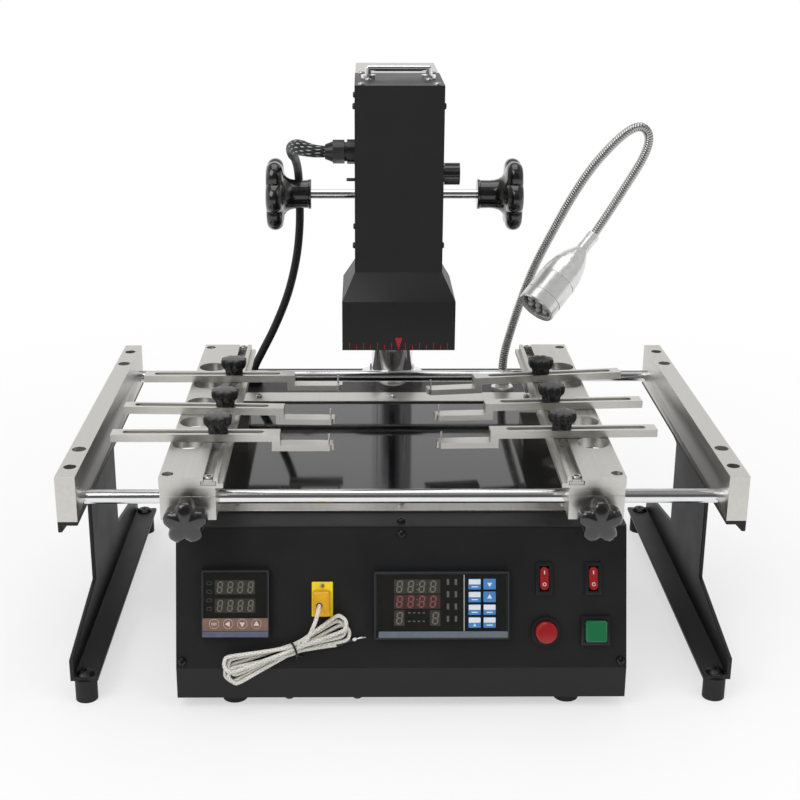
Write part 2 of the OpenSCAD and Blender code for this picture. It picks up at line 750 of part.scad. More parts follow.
module top_handle() color([0.8, 0.8, 0.82]) {
    y = (head_front + head_rear) / 2 + 2;
    for (x = [-1, 1]) translate([x * handle_half, y, head_top]) {
        cylinder(h = 3, r = 5.5);
        cylinder(h = handle_rise - 2, r = 2.2);
        translate([0, 0, handle_rise - 2.2]) sphere(2.2);
    }
    translate([-handle_half, y, head_top + handle_rise - 2.2]) rotate([0, 90, 0])
        cylinder(h = 2 * handle_half, r = 2.2);
}

module cable_gland() color([0.05, 0.05, 0.05]) {
    translate([-head_half, gland_y, gland_z]) rotate([0, -90, 0]) difference() {
        union() {
            translate([0, 0, -6]) cylinder(h = 8, r = 6);
            cylinder(h = 6, r = 9.5, $fn = 6);
            translate([0, 0, 5]) cylinder(h = 4, r = 7.5);
            translate([0, 0, 8]) cylinder(h = 9, r = 9.2, $fn = 6);
            translate([0, 0, 17]) cylinder(h = gland_end - head_half - 17, r1 = 8, r2 = cable_r + 1.5);
        }
        translate([0, 0, -10]) cylinder(h = gland_end - head_half - 4, r = cable_r);
    }
}

module head_cable() color([0.07, 0.07, 0.07]) tube(smooth(cable_route, 5), cable_r, 10);

function inv_deg(a) = tan(a) * 180 / PI - a;
function tooth_half(r) = tooth * 180 / gear_teeth + inv_deg(20) - inv_deg(acos(gear_base / r));

module pinion_shape() {
    mid = (max(gear_base, gear_root) + gear_tip) / 2;
    low = max(gear_base, gear_root) + 0.01;
    rows = [[gear_root, tooth_half(low)], [low, tooth_half(low)], [mid, tooth_half(mid)],
        [gear_tip, tooth_half(gear_tip)]];
    polygon([for (i = [0 : gear_teeth - 1]) for (k = [0 : 7])
        let (row = k < 4 ? rows[k] : rows[7 - k],
            a = (i + 0.5) * 360 / gear_teeth + (k < 4 ? -1 : 1) * row[1])
        row[0] * [cos(a), sin(a)]]);
}

module pinion_shaft() color([0.8, 0.8, 0.82]) {
    translate([-rack_w / 2, shaft_y, shaft_z]) rotate([90, 0, 90]) linear_extrude(rack_w) pinion_shape();
    translate([-wheel_out + 12, shaft_y, shaft_z]) rotate([0, 90, 0])
        cylinder(h = 2 * wheel_out - 24, r = shaft_r);
}

module handwheels() color([0.05, 0.05, 0.05]) {
    for (s = [0, 1]) mirror([s, 0, 0]) translate([wheel_in, shaft_y, shaft_z]) rotate([90, 0, 90])
        difference() {
        union() {
            cylinder(h = wheel_out - wheel_in - 2, r = wheel_hub);
            translate([0, 0, wheel_out - wheel_in - wheel_t]) linear_extrude(wheel_t)
                lobes(wheel_r, 6, wheel_r - 7, 8);
        }
        translate([0, 0, -1]) cylinder(h = wheel_out - wheel_in - 11, r = shaft_r);
    }
}

module lock_knob() color([0.05, 0.05, 0.05]) {
    translate([head_half, lock_y, lock_z]) rotate([0, 90, 0]) {
        translate([0, 0, -10]) cylinder(h = 12, r = 2.5);
        translate([0, 0, slide_gap]) cylinder(h = 3, r = lock_r - 2);
        difference() {
            translate([0, 0, 3]) cylinder(h = 12, r = lock_r);
            for (i = [0 : 11]) rotate(i * 30) translate([lock_r + 0.5, 0, 2])
                cylinder(h = 16, r = 1.3, $fn = 24);
        }
    }
}

// Board holder

module end_bars() color([0.74, 0.74, 0.75]) {
    for (s = [0, 1]) mirror([s, 0, 0]) difference() {
        box([bar_in, holder_half], [holder_y - bar_y / 2, holder_y + bar_y / 2], [bar_bottom, bar_top]);
        for (y = rods_y) translate([bar_in - 1, y, rod_z]) rotate([0, 90, 0])
            cylinder(h = rod_end - bar_in + 1, r = rod_r);
        for (y = rods_y) translate([holder_half - bar_x / 2, y, rod_z]) cylinder(h = 40, r = 4.5);
        for (y = [-102.5, 102.5]) translate([holder_half - bar_x / 2, holder_y + y, bar_top]) {
            translate([0, 0, -60]) cylinder(h = 80, r = 3.2);
            translate([0, 0, -6]) cylinder(h = 8, r = 5);
        }
    }
}

module side_legs() color([0.06, 0.06, 0.065]) {
    y0 = holder_y - bar_y / 2;
    y1 = holder_y + bar_y / 2;
    for (s = [0, 1]) mirror([s, 0, 0]) difference() {
        union() {
            side_profile(holder_half - leg_t, holder_half)
                polygon([[y0 + 3, leg_foot], [y1 - 2, leg_foot], [y1 - 2, leg_foot + rail_z],
                    [holder_y + leg_w / 2, 50], [holder_y + leg_w / 2, leg_top - 22], [y1, leg_top - 8],
                    [y1, leg_top], [y0, leg_top], [y0, leg_top - 8], [holder_y - leg_w / 2, leg_top - 22],
                    [holder_y - leg_w / 2, 50], [y0 + 3, leg_foot + rail_z]]);
            box([bar_in, holder_half - 1], [y0, y1], [leg_top - leg_t, leg_top]);
            box([holder_half - rail_x, holder_half - 1], [y0 + 3, y1 - 2], [leg_foot, leg_foot + leg_t]);
        }
        for (y = [-102.5, 102.5]) translate([holder_half - bar_x / 2, holder_y + y, leg_top - 10])
            cylinder(h = 20, r = 3.2);
    }
}

module guide_rods() color([0.85, 0.85, 0.87]) {
    for (y = rods_y) translate([-rod_end, y, rod_z]) rotate([0, 90, 0]) cylinder(h = 2 * rod_end, r = rod_r);
}

module carriage_plate(x) {
    slot_x = x - slot_in;
    hole_x = x + hole_out;
    mid_y = holder_y + 0.6;
    difference() {
        box([x - plate_x / 2, x + plate_x / 2], [mid_y - plate_y / 2, mid_y + plate_y / 2],
            [plate_z, bar_top]);
        box([slot_x - slot_w / 2, slot_x + slot_w / 2], [-400, 400], [mouth_z - 0.1, bar_top + 1]);
        box([slot_x - tee_w / 2, slot_x + tee_w / 2], [-400, 400], [tee_z, mouth_z]);
        box([x - plate_x / 2 - 1, x - plate_x / 2 + rebate_w], [-400, 400],
            [bar_top - rebate_t, bar_top + 1]);
        for (i = [-2 : 2]) translate([hole_x, holder_y + 1 + i * hole_pitch, plate_z - 1])
            cylinder(h = plate_t + 2, r = hole_r);
        for (s = [-1, 1]) translate([hole_x + 7.5, holder_y + s * (plate_y / 2 - 8), bar_top]) {
            translate([0, 0, -20]) cylinder(h = 30, r = 2.2);
            translate([0, 0, -4]) cylinder(h = 8, r = 4);
        }
    }
}

function block_mid(x) = x + (plate_x - block_x) / 2;

module slide_blocks(x) {
    mid = block_mid(x);
    for (i = [0, 1]) difference() {
        box([mid - block_x / 2, mid + block_x / 2], [rods_y[i] - block_y / 2, rods_y[i] + block_y / 2],
            [block_z, plate_z]);
        translate([mid - block_x, rods_y[i], rod_z]) rotate([0, 90, 0])
            cylinder(h = 2 * block_x, r = rod_r + run_gap);
        if (i == 0) translate([mid, rods_y[0], rod_z - star_drop]) rotate([90, 0, 0])
            cylinder(h = block_y, r = 3 + run_gap);
    }
}

module star_knob(x) {
    translate([block_mid(x), star_y, rod_z - star_drop]) rotate([90, 0, 0]) {
        translate([0, 0, rod_r + 0.5 - block_y / 2]) cylinder(h = block_y / 2 - rod_r + 2, r = 3);
        translate([0, 0, slide_gap]) cylinder(h = star_neck, r = 8);
        translate([0, 0, star_neck]) linear_extrude(star_t - 3) rotate(90)
            lobes(star_r, 5, star_r - 4.5, 5.5);
        translate([0, 0, star_neck + star_t - 3]) linear_extrude(3) rotate(90)
            lobes(star_r - 1, 5, star_r - 5.5, 5);
    }
}

module left_carriage_plate() color([0.74, 0.74, 0.75]) mirror([1, 0, 0]) carriage_plate(left_x);
module right_carriage_plate() color([0.74, 0.74, 0.75]) carriage_plate(right_x);
module left_slide_blocks() color([0.74, 0.74, 0.75]) mirror([1, 0, 0]) slide_blocks(left_x);
module right_slide_blocks() color([0.74, 0.74, 0.75]) slide_blocks(right_x);
module left_star_knob() color([0.05, 0.05, 0.05]) mirror([1, 0, 0]) star_knob(left_x);
module right_star_knob() color([0.05, 0.05, 0.05]) star_knob(right_x);

// Arms: local X points inwards from the stud

module arm_at(s, i) {
    translate([s < 0 ? slot_in - left_x : right_x - slot_in, s < 0 ? left_y[i] : right_y[i], 0])
        mirror([s > 0 ? 1 : 0, 0, 0]) children();
}

module arm(s, i) color([0.74, 0.74, 0.75]) arm_at(s, i)
    rotate([0, 0, s < 0 ? -left_turn[i] : -right_turn[i]]) {
    out = s < 0 ? left_out[i] : right_out[i];
    x1 = arm_len - out;
    jaw_z = arm_z - jaw_drop;
    difference() {
        union() {
            box([-out, x1], [-arm_w / 2, arm_w / 2], [arm_z, arm_z + arm_t]);
            box([x1 - step_x, x1], [-arm_w / 2, arm_w / 2], [jaw_z, arm_z + 1]);
            box([x1 - step_x, x1 + jaw_len], [-arm_w / 2, arm_w / 2], [jaw_z, jaw_z + jaw_t]);
            translate([x1 + jaw_len - 3.5, 2.5, jaw_z + 1])
                cylinder(h = jaw_t - 1 + pin_h, r = pin_r, $fn = 24);
        }
        translate([(slot_out - out + x1 - slot_inner) / 2, 0, arm_z - 1]) linear_extrude(arm_t + 2)
            stadium(arm_len - slot_out - slot_inner, arm_slot);
        translate([x1 + jaw_len, -arm_w / 2, jaw_z - 1]) cylinder(h = jaw_t + 2, r = 2.5);
    }
}

module clamp_nut(s, i) color([0.6, 0.6, 0.62]) arm_at(s, i) {
    slab([tee_w - 2 * slide_gap, nut_len], tee_z + slide_gap / 2, mouth_z - slide_gap / 2);
    slab([slot_w - 2 * slide_gap, nut_len], mouth_z - 1, bar_top - slide_gap / 2);
    translate([0, 0, mouth_z]) cylinder(h = knob_z + knob_h - 2 - mouth_z, r = stud_r);
}

module clamp_knob(s, i) color([0.05, 0.05, 0.05]) arm_at(s, i) translate([0, 0, knob_z]) difference() {
    union() {
        cylinder(h = 4, r = knob_neck);
        translate([0, 0, 4]) cylinder(h = 2.5, r1 = knob_neck, r2 = knob_r);
        translate([0, 0, 6.5]) cylinder(h = knob_h - 7.7, r = knob_r);
        translate([0, 0, knob_h - 1.2]) cylinder(h = 1.2, r1 = knob_r, r2 = knob_r - 1.2);
    }
    translate([0, 0, -1]) cylinder(h = knob_h, r = stud_r + run_gap);
    for (k = [0 : 11]) rotate(k * 30) translate([knob_r + 0.9, 0, 3]) cylinder(h = knob_h, r = 1.9, $fn = 24);
}

module left_front_arm() arm(-1, 0);
module left_front_clamp_nut() clamp_nut(-1, 0);
module left_front_knob() clamp_knob(-1, 0);
module left_middle_arm() arm(-1, 1);
module left_middle_clamp_nut() clamp_nut(-1, 1);
module left_middle_knob() clamp_knob(-1, 1);
module left_rear_arm() arm(-1, 2);
module left_rear_clamp_nut() clamp_nut(-1, 2);
module left_rear_knob() clamp_knob(-1, 2);
module right_front_arm() arm(1, 0);
module right_front_clamp_nut() clamp_nut(1, 0);
module right_front_knob() clamp_knob(1, 0);
module right_middle_arm() arm(1, 1);
module right_middle_clamp_nut() clamp_nut(1, 1);
module right_middle_knob() clamp_knob(1, 1);
module right_rear_arm() arm(1, 2);
module right_rear_clamp_nut() clamp_nut(1, 2);
module right_rear_knob() clamp_knob(1, 2);

// Lamp

module lamp_stalk() color([0.72, 0.72, 0.73]) {
    tube(smooth(neck_route, 4), neck_r, 10);
    translate([lamp_x, lamp_y, deck_z]) {
        cylinder(h = flange_t, r = flange_r);
        cylinder(h = lamp_socket, r = neck_r + 2.5);
    }
}

// Shares of the lamp head's radius and length, from the sleeve on the gooseneck to the lens
lamp_shape = [[0, 0], [0.32, 0], [0.32, 0.21], [0.37, 0.22], [0.54, 0.28], [0.71, 0.35], [0.86, 0.44],
    [0.95, 0.53],
    [0.99, 0.63], [0.95, 0.635], [0.95, 0.645], [1, 0.65], [1, 0.86], [0.96, 0.865], [0.96, 0.875], [1, 0.88],
    [1, 0.985], [0.95, 1], [0.89, 1], [0.84, 0.94], [0, 0.94]];

module lamp_head() color([0.74, 0.74, 0.75]) {
    d = unit(lamp_dir);
    translate(lamp_tail) rotate([0, acos(d[2]), atan2(d[1], d[0])]) rotate_extrude()
        polygon([for (p = lamp_shape) [p[0] * lamp_r, p[1] * lamp_len]]);
}

body_shell();
front_panel();
top_plate();
glass_plate();
glass_strips();
lower_heaters();
rubber_feet();
lower_controller();
upper_controller();
panel_bezels();
stop_button();
start_button();
light_rocker();
fan_rocker();
sensor_socket();
sensor_plug();
sensor_wire();
sensor_hank();
cooling_fan();
fan_rotor();
power_inlet();
column();
head_housing();
head_slide();
upper_heater();
top_handle();
cable_gland();
head_cable();
pinion_shaft();
handwheels();
lock_knob();
end_bars();
side_legs();
guide_rods();
left_carriage_plate();
right_carriage_plate();
left_slide_blocks();
right_slide_blocks();
left_star_knob();
right_star_knob();
left_front_arm();
left_front_clamp_nut();
left_front_knob();
left_middle_arm();
left_middle_clamp_nut();
left_middle_knob();
left_rear_arm();
left_rear_clamp_nut();
left_rear_knob();
right_front_arm();
right_front_clamp_nut();
right_front_knob();
right_middle_arm();
right_middle_clamp_nut();
right_middle_knob();
right_rear_arm();
right_rear_clamp_nut();
right_rear_knob();
lamp_stalk();
lamp_head();
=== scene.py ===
"""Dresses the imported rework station: finishes for every CAD node, the small fittings that the CAD leaves
out, the two flexible leads, and a plain pale stage with a camera at the photograph's angle."""

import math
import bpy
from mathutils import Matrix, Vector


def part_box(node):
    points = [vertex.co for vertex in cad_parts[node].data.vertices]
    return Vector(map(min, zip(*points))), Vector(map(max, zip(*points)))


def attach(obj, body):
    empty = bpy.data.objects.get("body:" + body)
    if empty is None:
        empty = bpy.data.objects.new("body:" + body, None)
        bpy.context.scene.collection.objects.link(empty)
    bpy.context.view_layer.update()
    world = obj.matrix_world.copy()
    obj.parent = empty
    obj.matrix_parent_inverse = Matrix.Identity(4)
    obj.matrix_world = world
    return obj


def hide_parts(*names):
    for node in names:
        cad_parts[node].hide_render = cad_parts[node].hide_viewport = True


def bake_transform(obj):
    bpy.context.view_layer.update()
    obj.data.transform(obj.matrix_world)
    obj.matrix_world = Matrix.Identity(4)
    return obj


bl_info = {
    "name": "Rework Station Dressing",
    "version": (1, 0, 0),
    "blender": (4, 2, 0),
    "location": "View3D > Sidebar > Station",
    "description": "Finishes, fittings, leads and stage for the packed rework station",
    "category": "Object",
}

import bpy
from bpy.props import FloatProperty, FloatVectorProperty, IntProperty, PointerProperty
from mathutils import Matrix, Vector

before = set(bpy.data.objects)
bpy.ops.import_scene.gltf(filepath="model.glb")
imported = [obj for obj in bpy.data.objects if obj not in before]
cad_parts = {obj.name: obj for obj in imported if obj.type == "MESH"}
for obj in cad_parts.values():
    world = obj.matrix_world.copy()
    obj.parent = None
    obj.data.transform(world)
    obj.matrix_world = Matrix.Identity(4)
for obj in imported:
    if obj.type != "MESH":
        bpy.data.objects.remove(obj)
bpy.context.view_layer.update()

MM = 0.001
WHITE = (1.0, 1.0, 1.0, 1.0)
SIDES = {"left": -1, "right": 1}
ROWS = ("front", "middle", "rear")


# Places that pieces share, in millimetres


def corners(node):
    """Lowest corner, middle and highest corner of a CAD node."""
    low, high = (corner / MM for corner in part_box(node))
    return low, (low + high) / 2, high


LEAN = math.radians(18.26)
PANEL_FOOT = corners("front_panel")[0]
DECK_Z = corners("glass_plate")[2].z
BACK_Y = corners("body_shell")[2].y
CABLE_HOLE = (-128, 160)
LAMP_FOOT = (100, 142)
# The tied hank's middle on the panel, its slope there, and the tie's distance along it
HANK = (-81.5, 12.8)
HANK_TURN = math.radians(20.9)
TIE_ALONG = 5.5
# Heights above the panel on the controllers: window, bezel and key strips; then the thickness of an inlay
FACE = 5.7
BEZEL = 6.4
STRIP = 6.62
INK = 0.14


# Sizes and colours that a user would change


def length(name, description, default):
    return FloatProperty(name=name, description=description, default=default, unit="LENGTH",
                         subtype="DISTANCE")


def colour(name, description, default):
    return FloatVectorProperty(name=name, description=description, default=default, size=3, min=0.0, max=1.0,
                               subtype="COLOR")


class StationSizes(bpy.types.PropertyGroup):
    """Sizes of the dressed pieces."""

    edge: length("Edge", "Rounding of machined and folded edges", 0.0005)
    lead_radius: length("Lead radius", "Radius of the white sensor lead", 0.0014)
    fold_radius: length("Fold radius", "Radius of the folds of the tied hank", 0.0056)
    cable_radius: length("Cable radius", "Radius of the head's braided cable", 0.0042)
    neck_radius: length("Neck radius", "Radius of the lamp's gooseneck", 0.0040)
    rib_pitch: length("Rib pitch", "Distance between the gooseneck's ribs", 0.0021)
    screw_radius: length("Screw radius", "Radius of a panel screw's head", 0.0030)
    tick_count: IntProperty(name="Ticks", description="Scale ticks on each side of the skirt's pointer",
                            default=7)


class StationColours(bpy.types.PropertyGroup):
    """Colours of the dressed pieces."""

    powder: colour("Powder coat", "Black powder coat of the sheet metal", (0.0105, 0.0105, 0.0115))
    glass: colour("Glass", "Black ceramic glass", (0.004, 0.004, 0.005))
    aluminium: colour("Aluminium", "Satin aluminium bars and plates", (0.66, 0.645, 0.61))
    bright: colour("Bright metal", "Chromed rods and column", (0.80, 0.80, 0.81))
    knob: colour("Knob", "Black knobs and hand wheels", (0.009, 0.009, 0.010))
    bezel: colour("Bezel", "Dark plastic of controllers and switches", (0.011, 0.012, 0.014))
    stop: colour("Stop", "Red stop button and rockers", (0.30, 0.005, 0.007))
    start: colour("Start", "Green start button", (0.006, 0.14, 0.05))
    yellow: colour("Yellow", "Sensor socket", (0.93, 0.70, 0.02))
    amber: colour("Amber", "Sensor plug", (0.72, 0.38, 0.012))
    braid: colour("White braid", "Sleeve of the sensor lead", (0.78, 0.765, 0.70))
    sleeve: colour("Black braid", "Sleeve of the head's cable", (0.02, 0.02, 0.021))
    key_blue: colour("Blue key", "Blue keys of the wide controller", (0.06, 0.22, 0.52))
    key_white: colour("White key", "White half of the keys", (0.72, 0.75, 0.78))
    key_strip: colour("Key strip", "Brown key strip of the small controller", (0.27, 0.165, 0.125))
    foot_strip: colour("Foot strip", "Blue-grey strip under the keys", (0.10, 0.115, 0.17))
    digit: colour("Digit", "Unlit display segments", (0.15, 0.14, 0.12))
    digit_red: colour("Red digit", "Unlit red display segments", (0.2, 0.075, 0.07))
    mark: colour("Mark", "Red scale marks on the skirt", (0.42, 0.012, 0.016))


def sizes():
    return bpy.context.scene.station_sizes


def colours():
    return bpy.context.scene.station_colours


# Shader trees


def blank_tree(owner):
    owner.use_nodes = True
    owner.node_tree.nodes.clear()
    return owner.node_tree


def add_node(tree, kind, inputs=None, **settings):
    """A shader node, with each input given as a value or as the socket that feeds it."""
    made = tree.nodes.new("ShaderNode" + kind)
    for key, value in settings.items():
        setattr(made, key, value)
    for key, value in (inputs or {}).items():
        if isinstance(value, bpy.types.NodeSocket):
            tree.links.new(value, made.inputs[key])
        else:
            made.inputs[key].default_value = value
    return made


def maths(tree, operation, *values):
    return add_node(tree, "Math", dict(enumerate(values)), operation=operation).outputs["Value"]


def faded(tree, value, limits, tones, interpolation="LINEAR"):
    """A tone that runs from the first to the second while the value runs between its limits."""
    return add_node(tree, "MapRange", {"Value": value, "From Min": limits[0], "From Max": limits[1],
                                       "To Min": tones[0], "To Max": tones[1]},
                    interpolation_type=interpolation).outputs["Result"]


def mixed(tree, share, first, second):
    """A colour between two, nearer to the second as the share grows."""
    made = add_node(tree, "Mix", {0: share}, data_type="RGBA")
    ends = [socket for socket in made.inputs if socket.type == "RGBA"]
    for socket, value in zip(ends, (first, second)):
        if isinstance(value, bpy.types.NodeSocket):
            tree.links.new(value, socket)
        else:
            socket.default_value = value
    return next(socket for socket in made.outputs if socket.type == "RGBA")


def kind_of(tree, kind):
    return next(node for node in tree.nodes if node.type == kind)


def shade(value, share):
    return tuple(max(0.0, min(1.0, channel * share)) for channel in value) + (1.0,)


# Finishes


def finish(name, base, rough, metal=0.0, mottle=0.08, mottle_scale=60.0, rub=0.06, grain=0.0,
           grain_scale=900.0, stretch=(1.0, 1.0, 1.0), specular=0.5, coat=0.0):
    """A finish with mottled colour, uneven gloss and a fine grain, or the one made before."""
    known = bpy.data.materials.get(name)
    if known:
        return known
    made = bpy.data.materials.new(name)
    tree = blank_tree(made)
    place = add_node(tree, "TexCoord").outputs["Object"]
    scaled = add_node(tree, "Mapping", {"Vector": place, "Scale": stretch}).outputs["Vector"]
    coarse = add_node(tree, "TexNoise", {"Vector": scaled, "Scale": mottle_scale, "Detail": 5.0})
    cloud = coarse.outputs["Fac"]
    ramp = add_node(tree, "ValToRGB", {"Fac": cloud})
    for stop, position, share in zip(ramp.color_ramp.elements, (0.3, 0.7), (1.0 - mottle, 1.0 + mottle)):
        stop.position = position
        stop.color = shade(base, share)
    gloss = faded(tree, cloud, (0.25, 0.75), (max(0.02, rough - rub), min(1.0, rough + rub)))
    surface = add_node(tree, "BsdfPrincipled", {
        "Base Color": ramp.outputs["Color"], "Roughness": gloss, "Metallic": metal,
        "Specular IOR Level": specular, "Coat Weight": coat, "Coat Roughness": 0.08})
    if grain:
        fine = add_node(tree, "TexNoise", {"Vector": scaled, "Scale": grain_scale, "Detail": 2.0})
        raise_surface(tree, surface, fine.outputs["Fac"], grain, 0.0002)
    add_node(tree, "OutputMaterial", {"Surface": surface.outputs["BSDF"]})
    return made


def raise_surface(tree, surface, height, strength, distance):
    """Gives a surface the relief of a height."""
    relief = add_node(tree, "Bump", {"Height": height, "Strength": strength, "Distance": distance})
    tree.links.new(relief.outputs["Normal"], surface.inputs["Normal"])


def braided(name, base, strands, pitch, rough, painted_groove_shade, fleck=None, reach=0.0):
    """A woven sleeve: two sets of strands wound the opposite way round, laid out on the tube's own map, with
    shade painted darker into the hollows between the strands.

    A fleck colours the tops where strands cross, as far as it reaches from the sleeve's start.
    """
    known = bpy.data.materials.get(name)
    if known:
        return known
    made = finish(name, base, rough, mottle=0.14, mottle_scale=220.0, rub=0.05, specular=0.3)
    tree = made.node_tree
    surface = kind_of(tree, "BSDF_PRINCIPLED")
    spot = add_node(tree, "SeparateXYZ", {"Vector": kind_of(tree, "TEX_COORD").outputs["UV"]})
    across = maths(tree, "MULTIPLY", spot.outputs["X"], 2 * math.pi * strands)
    along = maths(tree, "MULTIPLY", spot.outputs["Y"], 2 * math.pi / pitch)
    one = maths(tree, "SINE", maths(tree, "ADD", across, along))
    two = maths(tree, "SINE", maths(tree, "SUBTRACT", across, along))
    height = maths(tree, "MULTIPLY_ADD", maths(tree, "MAXIMUM", one, two), 0.5, 0.5)
    # painted shade: the colour is darker in the hollows between the strands
    skin = mixed(tree, height, shade(base, painted_groove_shade), kind_of(tree, "VALTORGB").outputs["Color"])
    if fleck:
        tops = maths(tree, "MULTIPLY", maths(tree, "GREATER_THAN", one, 0.55),
                     maths(tree, "GREATER_THAN", two, 0.1))
        shown = maths(tree, "MULTIPLY", tops, maths(tree, "LESS_THAN", spot.outputs["Y"], reach))
        skin = mixed(tree, shown, skin, shade(fleck, 1.0))
    tree.links.new(skin, surface.inputs["Base Color"])
    raise_surface(tree, surface, height, 0.6, 0.0004)
    return made


def powder_coat():
    return finish("black_powder_coat", colours().powder, 0.44, mottle=0.12, mottle_scale=25.0, rub=0.05,
                  grain=0.16, grain_scale=1500.0, specular=0.32)


def black_glass():
    return finish("black_ceramic_glass", colours().glass, 0.07, mottle=0.1, mottle_scale=14.0, rub=0.03)


def brushed(name, rough, stretch):
    return finish(name, colours().aluminium, rough, metal=1.0, mottle=0.05, mottle_scale=300.0, grain=0.10,
                  grain_scale=1400.0, stretch=stretch)


def aluminium():
    return brushed("brushed_bar_aluminium", 0.38, (1.0, 0.04, 1.0))


def arm_aluminium():
    return brushed("brushed_arm_aluminium", 0.34, (0.04, 1.0, 1.0))


def bright_metal():
    return finish("bright_chrome", colours().bright, 0.12, metal=1.0, mottle=0.03, mottle_scale=120.0,
                  rub=0.03, grain=0.03)


def steel():
    return finish("machine_steel", (0.52, 0.52, 0.52), 0.3, metal=1.0, mottle_scale=400.0, rub=0.08)


def dark_steel():
    return finish("blackened_steel", (0.05, 0.05, 0.052), 0.38, metal=1.0, mottle=0.12, mottle_scale=500.0,
                  rub=0.08)


def neck_steel():
    return finish("gooseneck_steel", (0.50, 0.50, 0.495), 0.24, metal=1.0, mottle=0.05, mottle_scale=200.0)


def lamp_metal():
    return finish("lamp_shell_metal", (0.80, 0.80, 0.795), 0.24, metal=0.6, mottle=0.04, mottle_scale=200.0,
                  rub=0.04)


def lamp_dish():
    return finish("lamp_dish", (0.06, 0.06, 0.062), 0.16, mottle_scale=200.0)


def lamp_dome():
    return finish("lamp_dome", (0.78, 0.79, 0.76), 0.1, mottle=0.03, mottle_scale=200.0, specular=0.6)


def black_knob(name, rough, specular, coat):
    return finish(name, colours().knob, rough, mottle=0.1, mottle_scale=90.0, rub=0.05, grain=0.04,
                  grain_scale=1800.0, specular=specular, coat=coat)


def knob_plastic():
    return black_knob("black_knob_plastic", 0.2, 0.5, 0.8)


def clamp_plastic():
    return black_knob("clamp_knob_plastic", 0.3, 0.3, 0.12)


def bezel_plastic():
    return finish("dark_bezel_plastic", colours().bezel, 0.42, mottle=0.1, mottle_scale=90.0, grain=0.12,
                  grain_scale=2200.0, specular=0.3)


def gloss_plastic(name, base):
    return finish(name, base, 0.3, mottle=0.05, mottle_scale=80.0, rub=0.05, grain=0.04, grain_scale=1500.0)


def socket_plastic(name, base, rough):
    return finish(name, base, rough, mottle=0.06, mottle_scale=120.0, grain=0.08, grain_scale=1800.0,
                  specular=0.4)


def rubber():
    return finish("foot_rubber", (0.012, 0.012, 0.012), 0.75, mottle=0.15, mottle_scale=200.0, rub=0.08,
                  grain=0.2)


def ceramic():
    return finish("heater_ceramic", (0.20, 0.19, 0.18), 0.62, mottle=0.18, mottle_scale=120.0, rub=0.08,
                  grain=0.25)


def white_ferrule():
    return finish("white_ferrule", (0.75, 0.74, 0.7), 0.5, mottle=0.05)


def shrink_sleeve():
    return finish("shrink_sleeve", (0.022, 0.022, 0.024), 0.3, mottle=0.1)


def tie_wire():
    return finish("tie_wire", (0.012, 0.012, 0.012), 0.45, mottle=0.1)


def printed(name, base):
    return finish(name, base, 0.5, mottle=0.06, mottle_scale=700.0, rub=0.08, grain=0.05, grain_scale=2500.0,
                  specular=0.3)


# A pale line painted round the controller bezels' rims, standing in for their edge highlight.
def painted_rim_highlight():
    return printed("painted_rim_highlight", (0.05, 0.05, 0.055))


def unlit_digit():
    return printed("unlit_digit", colours().digit)


def window():
    return finish("display_window", (0.012, 0.012, 0.011), 0.14, mottle=0.1, mottle_scale=150.0, rub=0.03)


def display_glass(name, base):
    return finish(name, base, 0.2, mottle=0.12, mottle_scale=400.0)


def olive_display():
    return display_glass("olive_display", (0.045, 0.042, 0.034))


def key_strip():
    return finish("brown_key_strip", colours().key_strip, 0.36, metal=0.35, mottle=0.05, mottle_scale=300.0,
                  grain=0.06, stretch=(0.05, 1.0, 1.0))


def painted_strip(name, base):
    return finish(name, base, 0.4, mottle=0.06, mottle_scale=300.0)


# Forms, in millimetres


def lobed(count, depth, turn=0.0):
    """The rim of a knob: broad lobes, with round hollows as deep as given."""
    def form(angle):
        return 1.0 - depth * (0.5 - 0.5 * math.cos(count * (angle - turn))) ** 2.2
    return form


def scalloped(count, depth):
    """The rim of a hand wheel: round lobes that meet in narrow hollows as deep as given."""
    def form(angle):
        off = abs(((angle * count / math.pi + 1.0) % 2.0) - 1.0)
        return 1.0 - depth * off ** 2
    return form


def hexagon(angle):
    return math.cos(math.pi / 6) / math.cos((angle % (math.pi / 3)) - math.pi / 6)


def cross(angle):
    """A cross recess, with arms about a fifth as wide as it is."""
    off = abs(((angle + math.pi / 4) % (math.pi / 2)) - math.pi / 4)
    return min(1.0 / math.cos(off), 0.19 / max(math.sin(off), 1e-6))


def round_rect(wide, high, radius, steps=5):
    points = []
    for quarter, (sx, sy) in enumerate(((1, 1), (-1, 1), (-1, -1), (1, -1))):
        for step in range(steps + 1):
            angle = math.pi / 2 * (quarter + step / steps)
            points.append((sx * (wide / 2 - radius) + radius * math.cos(angle),
                           sy * (high / 2 - radius) + radius * math.sin(angle)))
    return points


def disc(radius, count=32):
    return [(radius * math.cos(2 * math.pi * i / count), radius * math.sin(2 * math.pi * i / count))
            for i in range(count)]


def triangle(size, heading):
    return [(size * math.cos(heading + a), size * math.sin(heading + a))
            for a in (0, 2 * math.pi / 3, 4 * math.pi / 3)]


def inset(outline, gap):
    """The outline moved inwards; it runs anticlockwise."""
    count = len(outline)
    moved = []
    for i in range(count):
        a, b, c = (Vector(outline[k % count]) for k in (i - 1, i, i + 1))
        d1, d2 = (b - a), (c - b)
        if d1.length < 1e-9 or d2.length < 1e-9:
            moved.append(tuple(b))
            continue
        n1, n2 = Vector((-d1.y, d1.x)).normalized(), Vector((-d2.y, d2.x)).normalized()
        turn = n1 + n2
        moved.append(tuple(b + turn * (gap / max(0.3, 1.0 + n1.dot(n2)))))
    return moved


def on_panel(x, t, n=0.0, turn=0.0):
    """Place on the leaning panel: X across, Y up the panel, Z out of it."""
    s, c = math.sin(LEAN), math.cos(LEAN)
    y, z = PANEL_FOOT.y + t * s - n * c, PANEL_FOOT.z + t * c + n * s
    spot = Matrix(((1, 0, 0, x), (0, s, -c, y), (0, c, s, z), (0, 0, 0, 1)))
    return spot @ Matrix.Rotation(turn, 4, "Z")


